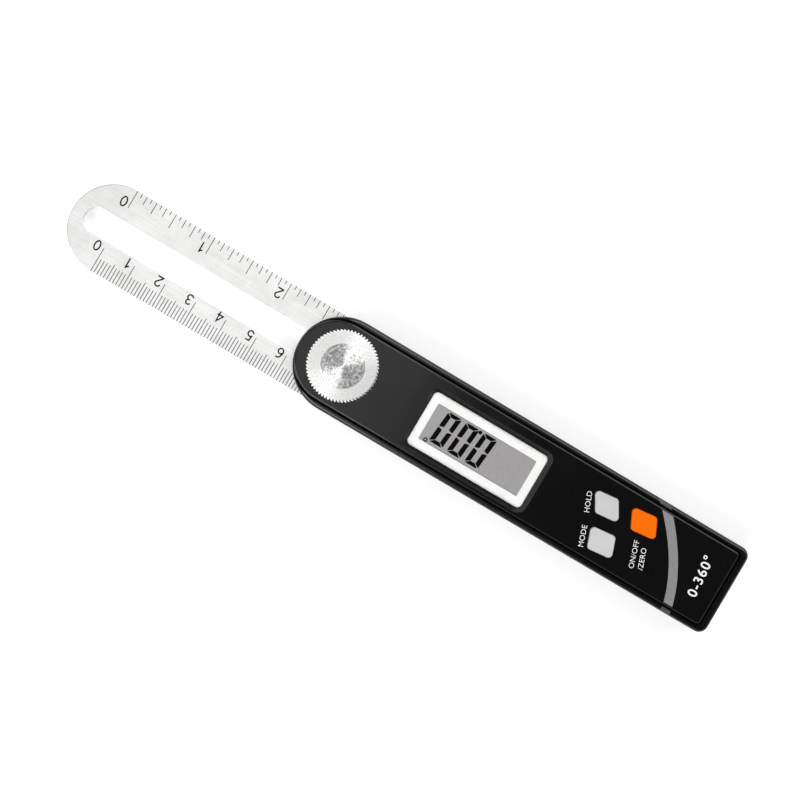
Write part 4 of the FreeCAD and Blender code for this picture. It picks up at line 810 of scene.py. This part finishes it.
def band(y, across=9):
    """A closed thin band: a grid between the two edges along y.  Its top follows the panel, or past
    it the rim's flat and round, lifted along the surface's normal by the ink's height; its
    underside is sunk by the same rule."""
    share = np.linspace(0, 1, across)
    near, far = (a + b * y + c * y * y for a, b, c in (BAND_NEAR, BAND_FAR))
    x = near[:, None] + (far - near)[:, None] * share[None]
    lean = np.clip((np.abs(y) - RIM_FLAT) / RIM_ROUND, 0, None)
    rim_z = RIM_TOP - RIM_ROUND * (1 - np.sqrt(1 - lean ** 2))
    z = np.where(np.abs(y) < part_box("face_panel")[1].y / MM, PANEL_TOP, rim_z)
    normal_y, normal_z = np.sign(y) * lean, np.sqrt(1 - lean ** 2)
    layers = [np.stack([x, np.repeat((y + lift * normal_y)[:, None], across, 1),
                        np.repeat((z + lift * normal_z)[:, None], across, 1)], -1).reshape(-1, 3)
              for lift in (INK_PROUD * 1.5, -INK_SUNK)]
    index = np.arange(x.size).reshape(x.shape)
    top = quads(index, rows_close=False, columns_close=False)
    border = np.concatenate([index[0], index[1:, -1], index[-1, -2::-1], index[-2:0:-1, 0]])
    after = np.roll(border, -1)
    wall = np.stack([border, border + x.size, after + x.size, after], -1)
    return np.concatenate(layers), np.concatenate([top, top[:, ::-1] + x.size, wall]).tolist()


FLAKE = 0.3  # the metal flakes, coarser than real so that they show
silver = patchy("silver_print", FLAKE, ("#868688", "#969698"), (0.4, 0.5), {"Metallic": 0.2},
                Detail=2.0)
points, faces = band(np.linspace(-BAND_PANEL, BAND_PANEL, 48))
shell("silver_band", points, faces, silver, "handle", smooth=40)
points, faces = gather([band(np.linspace(*BAND_RIM, 14)), band(-np.linspace(*BAND_RIM, 14)[::-1])])
# on the rim the band is drawn in a darker, matt grey than on the panel
silver_darker = patchy("silver_print_darker", BLOTCH, ("#3e3e40", "#4c4c4e"), (0.4, 0.5))
shell("silver_band_on_rim", points, faces, silver_darker, "handle", smooth=40)

# ---- Keys --------------------------------------------------------------------------------------
# Moulded ABS caps, two light grey and one orange, guided by the panel's openings and held in by
# their flanges.  A soft matt coat spreads the lamps' light; the orange one has hardly any sheen.

COAT_GRAIN, TOUCH = 0.3, 5.0  # the coat's grain, coarser than real, and where fingers press
for name, dark, light, gloss, keys in (
        ("key_coat_grey", "#c7c7c7", "#cfcfcf", 0.4, ("hold_button", "mode_button")),
        ("key_coat_orange", "#fc6a00", "#ff7000", 0.1, ("power_button",))):
    coat, tree, spot = new_finish(name)
    grain = add(tree, "ShaderNodeTexNoise", {"Vector": spot, "Scale": PER_MM / COAT_GRAIN})
    touched = add(tree, "ShaderNodeTexNoise", {"Vector": spot, "Scale": PER_MM / TOUCH})
    surface(tree, touched.outputs["Fac"], (dark, light), (0.42, 0.52), {"Specular IOR Level": gloss},
            relief=(grain.outputs["Fac"], 0.1, 0.02))
    dress(coat, *keys)

# ---- Lock knob ---------------------------------------------------------------------------------
# Turned from aluminium bar, with the stud pressed into its bore: a flat disc, a small step down to
# a flat ring, and a straight knurl all round.  The tool marks run in circles, so lamps stretch
# into fans.

TEETH, STEPS_PER_TOOTH, KNURL_DEEP = 63, 8, 0.46
CREST_SHARE, CREST_WORN = 0.2, 0.05  # the crests' share of the pitch, and their wear
DISC_RADIUS, DISC_PROUD, EDGE_EASE = 6.15, 0.17, 0.05
BORE_RADIUS, BORE_DEEP = 2.0, 3.3
FOOT_RADIUS, RELIEF, RELIEF_RADIUS = 6.3, 0.3, 9.6  # the foot on the washer, the relief around it
LAPPED_SHARE, PITTED_SHARE = 0.7, 0.32  # how much of the ring is lapped, of the disc pitted
SPECKLE, SPECKLE_SHARE = 0.5, 0.75  # size of the pits, and their part beside tool marks
KNOB_LOW, KNOB_HIGH = (corner.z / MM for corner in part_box("lock_knob"))
KNOB_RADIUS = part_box("lock_knob")[1].x / MM - CREST_WORN
RING_TOP = KNOB_HIGH - DISC_PROUD


def eased(profile, radius, steps=3):
    """Round each inner corner of a (radius, height, knurl) profile with a quadratic curve, from and
    to the radius away from it, or 0.4 of a side that is short."""
    points = [profile[0]]
    for before, here, after in zip(profile[:-2], profile[1:-1], profile[2:]):
        into, out = before - here, after - here
        cut_in = min(radius / np.linalg.norm(into[:2]), 0.4)
        cut_out = min(radius / np.linalg.norm(out[:2]), 0.4)
        share = np.linspace(0, 1, steps)[:, None]
        points += list((1 - share) ** 2 * (here + into * cut_in) + 2 * share * (1 - share) * here
                       + share ** 2 * (here + out * cut_out))
    points.append(profile[-1])
    return np.array(points)


# from the small centre mark over the disc, the step, the ring and the knurl to the foot and the bore;
# the close pairs of points keep the flats' shading flat up to their edges
profile = eased(np.array([
    (0.0, KNOB_HIGH - 0.25, 0), (0.35, KNOB_HIGH, 0), (0.55, KNOB_HIGH, 0),
    (DISC_RADIUS - 0.15, KNOB_HIGH, 0), (DISC_RADIUS, KNOB_HIGH, 0),
    (DISC_RADIUS + 0.12, RING_TOP, 0), (DISC_RADIUS + 0.25, RING_TOP, 0),
    (KNOB_RADIUS - 1.0, RING_TOP, 0), (KNOB_RADIUS - 0.85, RING_TOP, 0),
    (KNOB_RADIUS - 0.1, RING_TOP, 1), (KNOB_RADIUS, RING_TOP - 0.25, 1),
    (KNOB_RADIUS, KNOB_LOW + 0.8, 1), (RELIEF_RADIUS, KNOB_LOW + RELIEF, 0),
    (FOOT_RADIUS, KNOB_LOW + RELIEF, 0), (FOOT_RADIUS, KNOB_LOW, 0), (BORE_RADIUS, KNOB_LOW, 0),
    (BORE_RADIUS, KNOB_LOW + BORE_DEEP, 0), (0.0, KNOB_LOW + BORE_DEEP, 0)]), EDGE_EASE)
# every profile point runs round the axis, and is drawn in by the groove where the knurl is cut
around = TEETH * STEPS_PER_TOOTH
angle = np.linspace(0, 2 * math.pi, around, endpoint=False)
off_crest = np.abs((np.arange(around) / STEPS_PER_TOOTH) % 1 - 0.5) * 2
groove = np.clip((off_crest - CREST_SHARE) / (1 - CREST_SHARE), 0, 1)
inner = profile[1:-1]
radius = inner[:, 0, None] - KNURL_DEEP * inner[:, 2, None] * groove[None]
points = np.stack([radius * np.cos(angle), radius * np.sin(angle),
                   np.repeat(inner[:, 1, None], around, 1)], -1).reshape(-1, 3)
points = np.concatenate([points, [(0, 0, profile[0, 1]), (0, 0, profile[-1, 1])]])
index = np.arange(len(inner) * around).reshape(len(inner), around)
ahead = np.roll(index, -1, axis=1)
faces = quads(index, rows_close=False, columns_close=True)[:, [0, 3, 2, 1]].tolist()
faces += [[len(points) - 2, a, b] for a, b in zip(index[0], ahead[0])]
faces += [[len(points) - 1, b, a] for a, b in zip(index[-1], ahead[-1])]

aluminium, tree, spot = new_finish("aluminium_turned")
marks = tool_marks(tree, spot, 0.0, pitch=0.18)
speckle = add(tree, "ShaderNodeTexNoise", {
    "Vector": spot, "Scale": PER_MM / SPECKLE, "Detail": 1.0, "Roughness": 0.6})
both = add(tree, "ShaderNodeMix", {
    "Factor": SPECKLE_SHARE, "A": marks.outputs["Fac"], "B": speckle.outputs["Fac"]},
    data_type="FLOAT")
fan = add(tree, "ShaderNodeTangent", direction_type="RADIAL", axis="Z")
turned_finish = surface(tree, both.outputs["Result"], ("#858584", "#fcfcfb"), (0.34, 0.44),
                        {"Metallic": 1.0, "Anisotropic": 0.95, "Anisotropic Rotation": 0.25,
                         "Tangent": fan.outputs[0]})
# the ring outside the disc is lapped after turning and the disc is a little pitted, so part of them
# mirrors in all directions alike
lapped = add(tree, "ShaderNodeBsdfPrincipled", {
    "Base Color": tint("#fbfbfa"), "Metallic": 1.0, "Roughness": 0.24})
on_ring = add(tree, "ShaderNodeMapRange", {
    "Value": from_axis(tree, spot), "From Min": (DISC_RADIUS + 0.05) * MM,
    "From Max": (DISC_RADIUS + 0.2) * MM, "To Max": LAPPED_SHARE})
pits = add(tree, "ShaderNodeMapRange", {
    "Value": speckle.outputs["Fac"], "From Min": 0.49, "From Max": 0.63, "To Max": PITTED_SHARE})
share = add(tree, "ShaderNodeMath", {0: on_ring.outputs[0], 1: pits.outputs[0]}, operation="MAXIMUM")
mixed = add(tree, "ShaderNodeMixShader", {
    0: share.outputs[0], 1: turned_finish.outputs[0], 2: lapped.outputs[0]})
tree.links.new(mixed.outputs[0], tree.nodes["Material Output"].inputs["Surface"])
knurled_knob = shell("knurled_knob", points, faces, aluminium, "knob", smooth=35)
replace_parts(knurled_knob, "lock_knob")
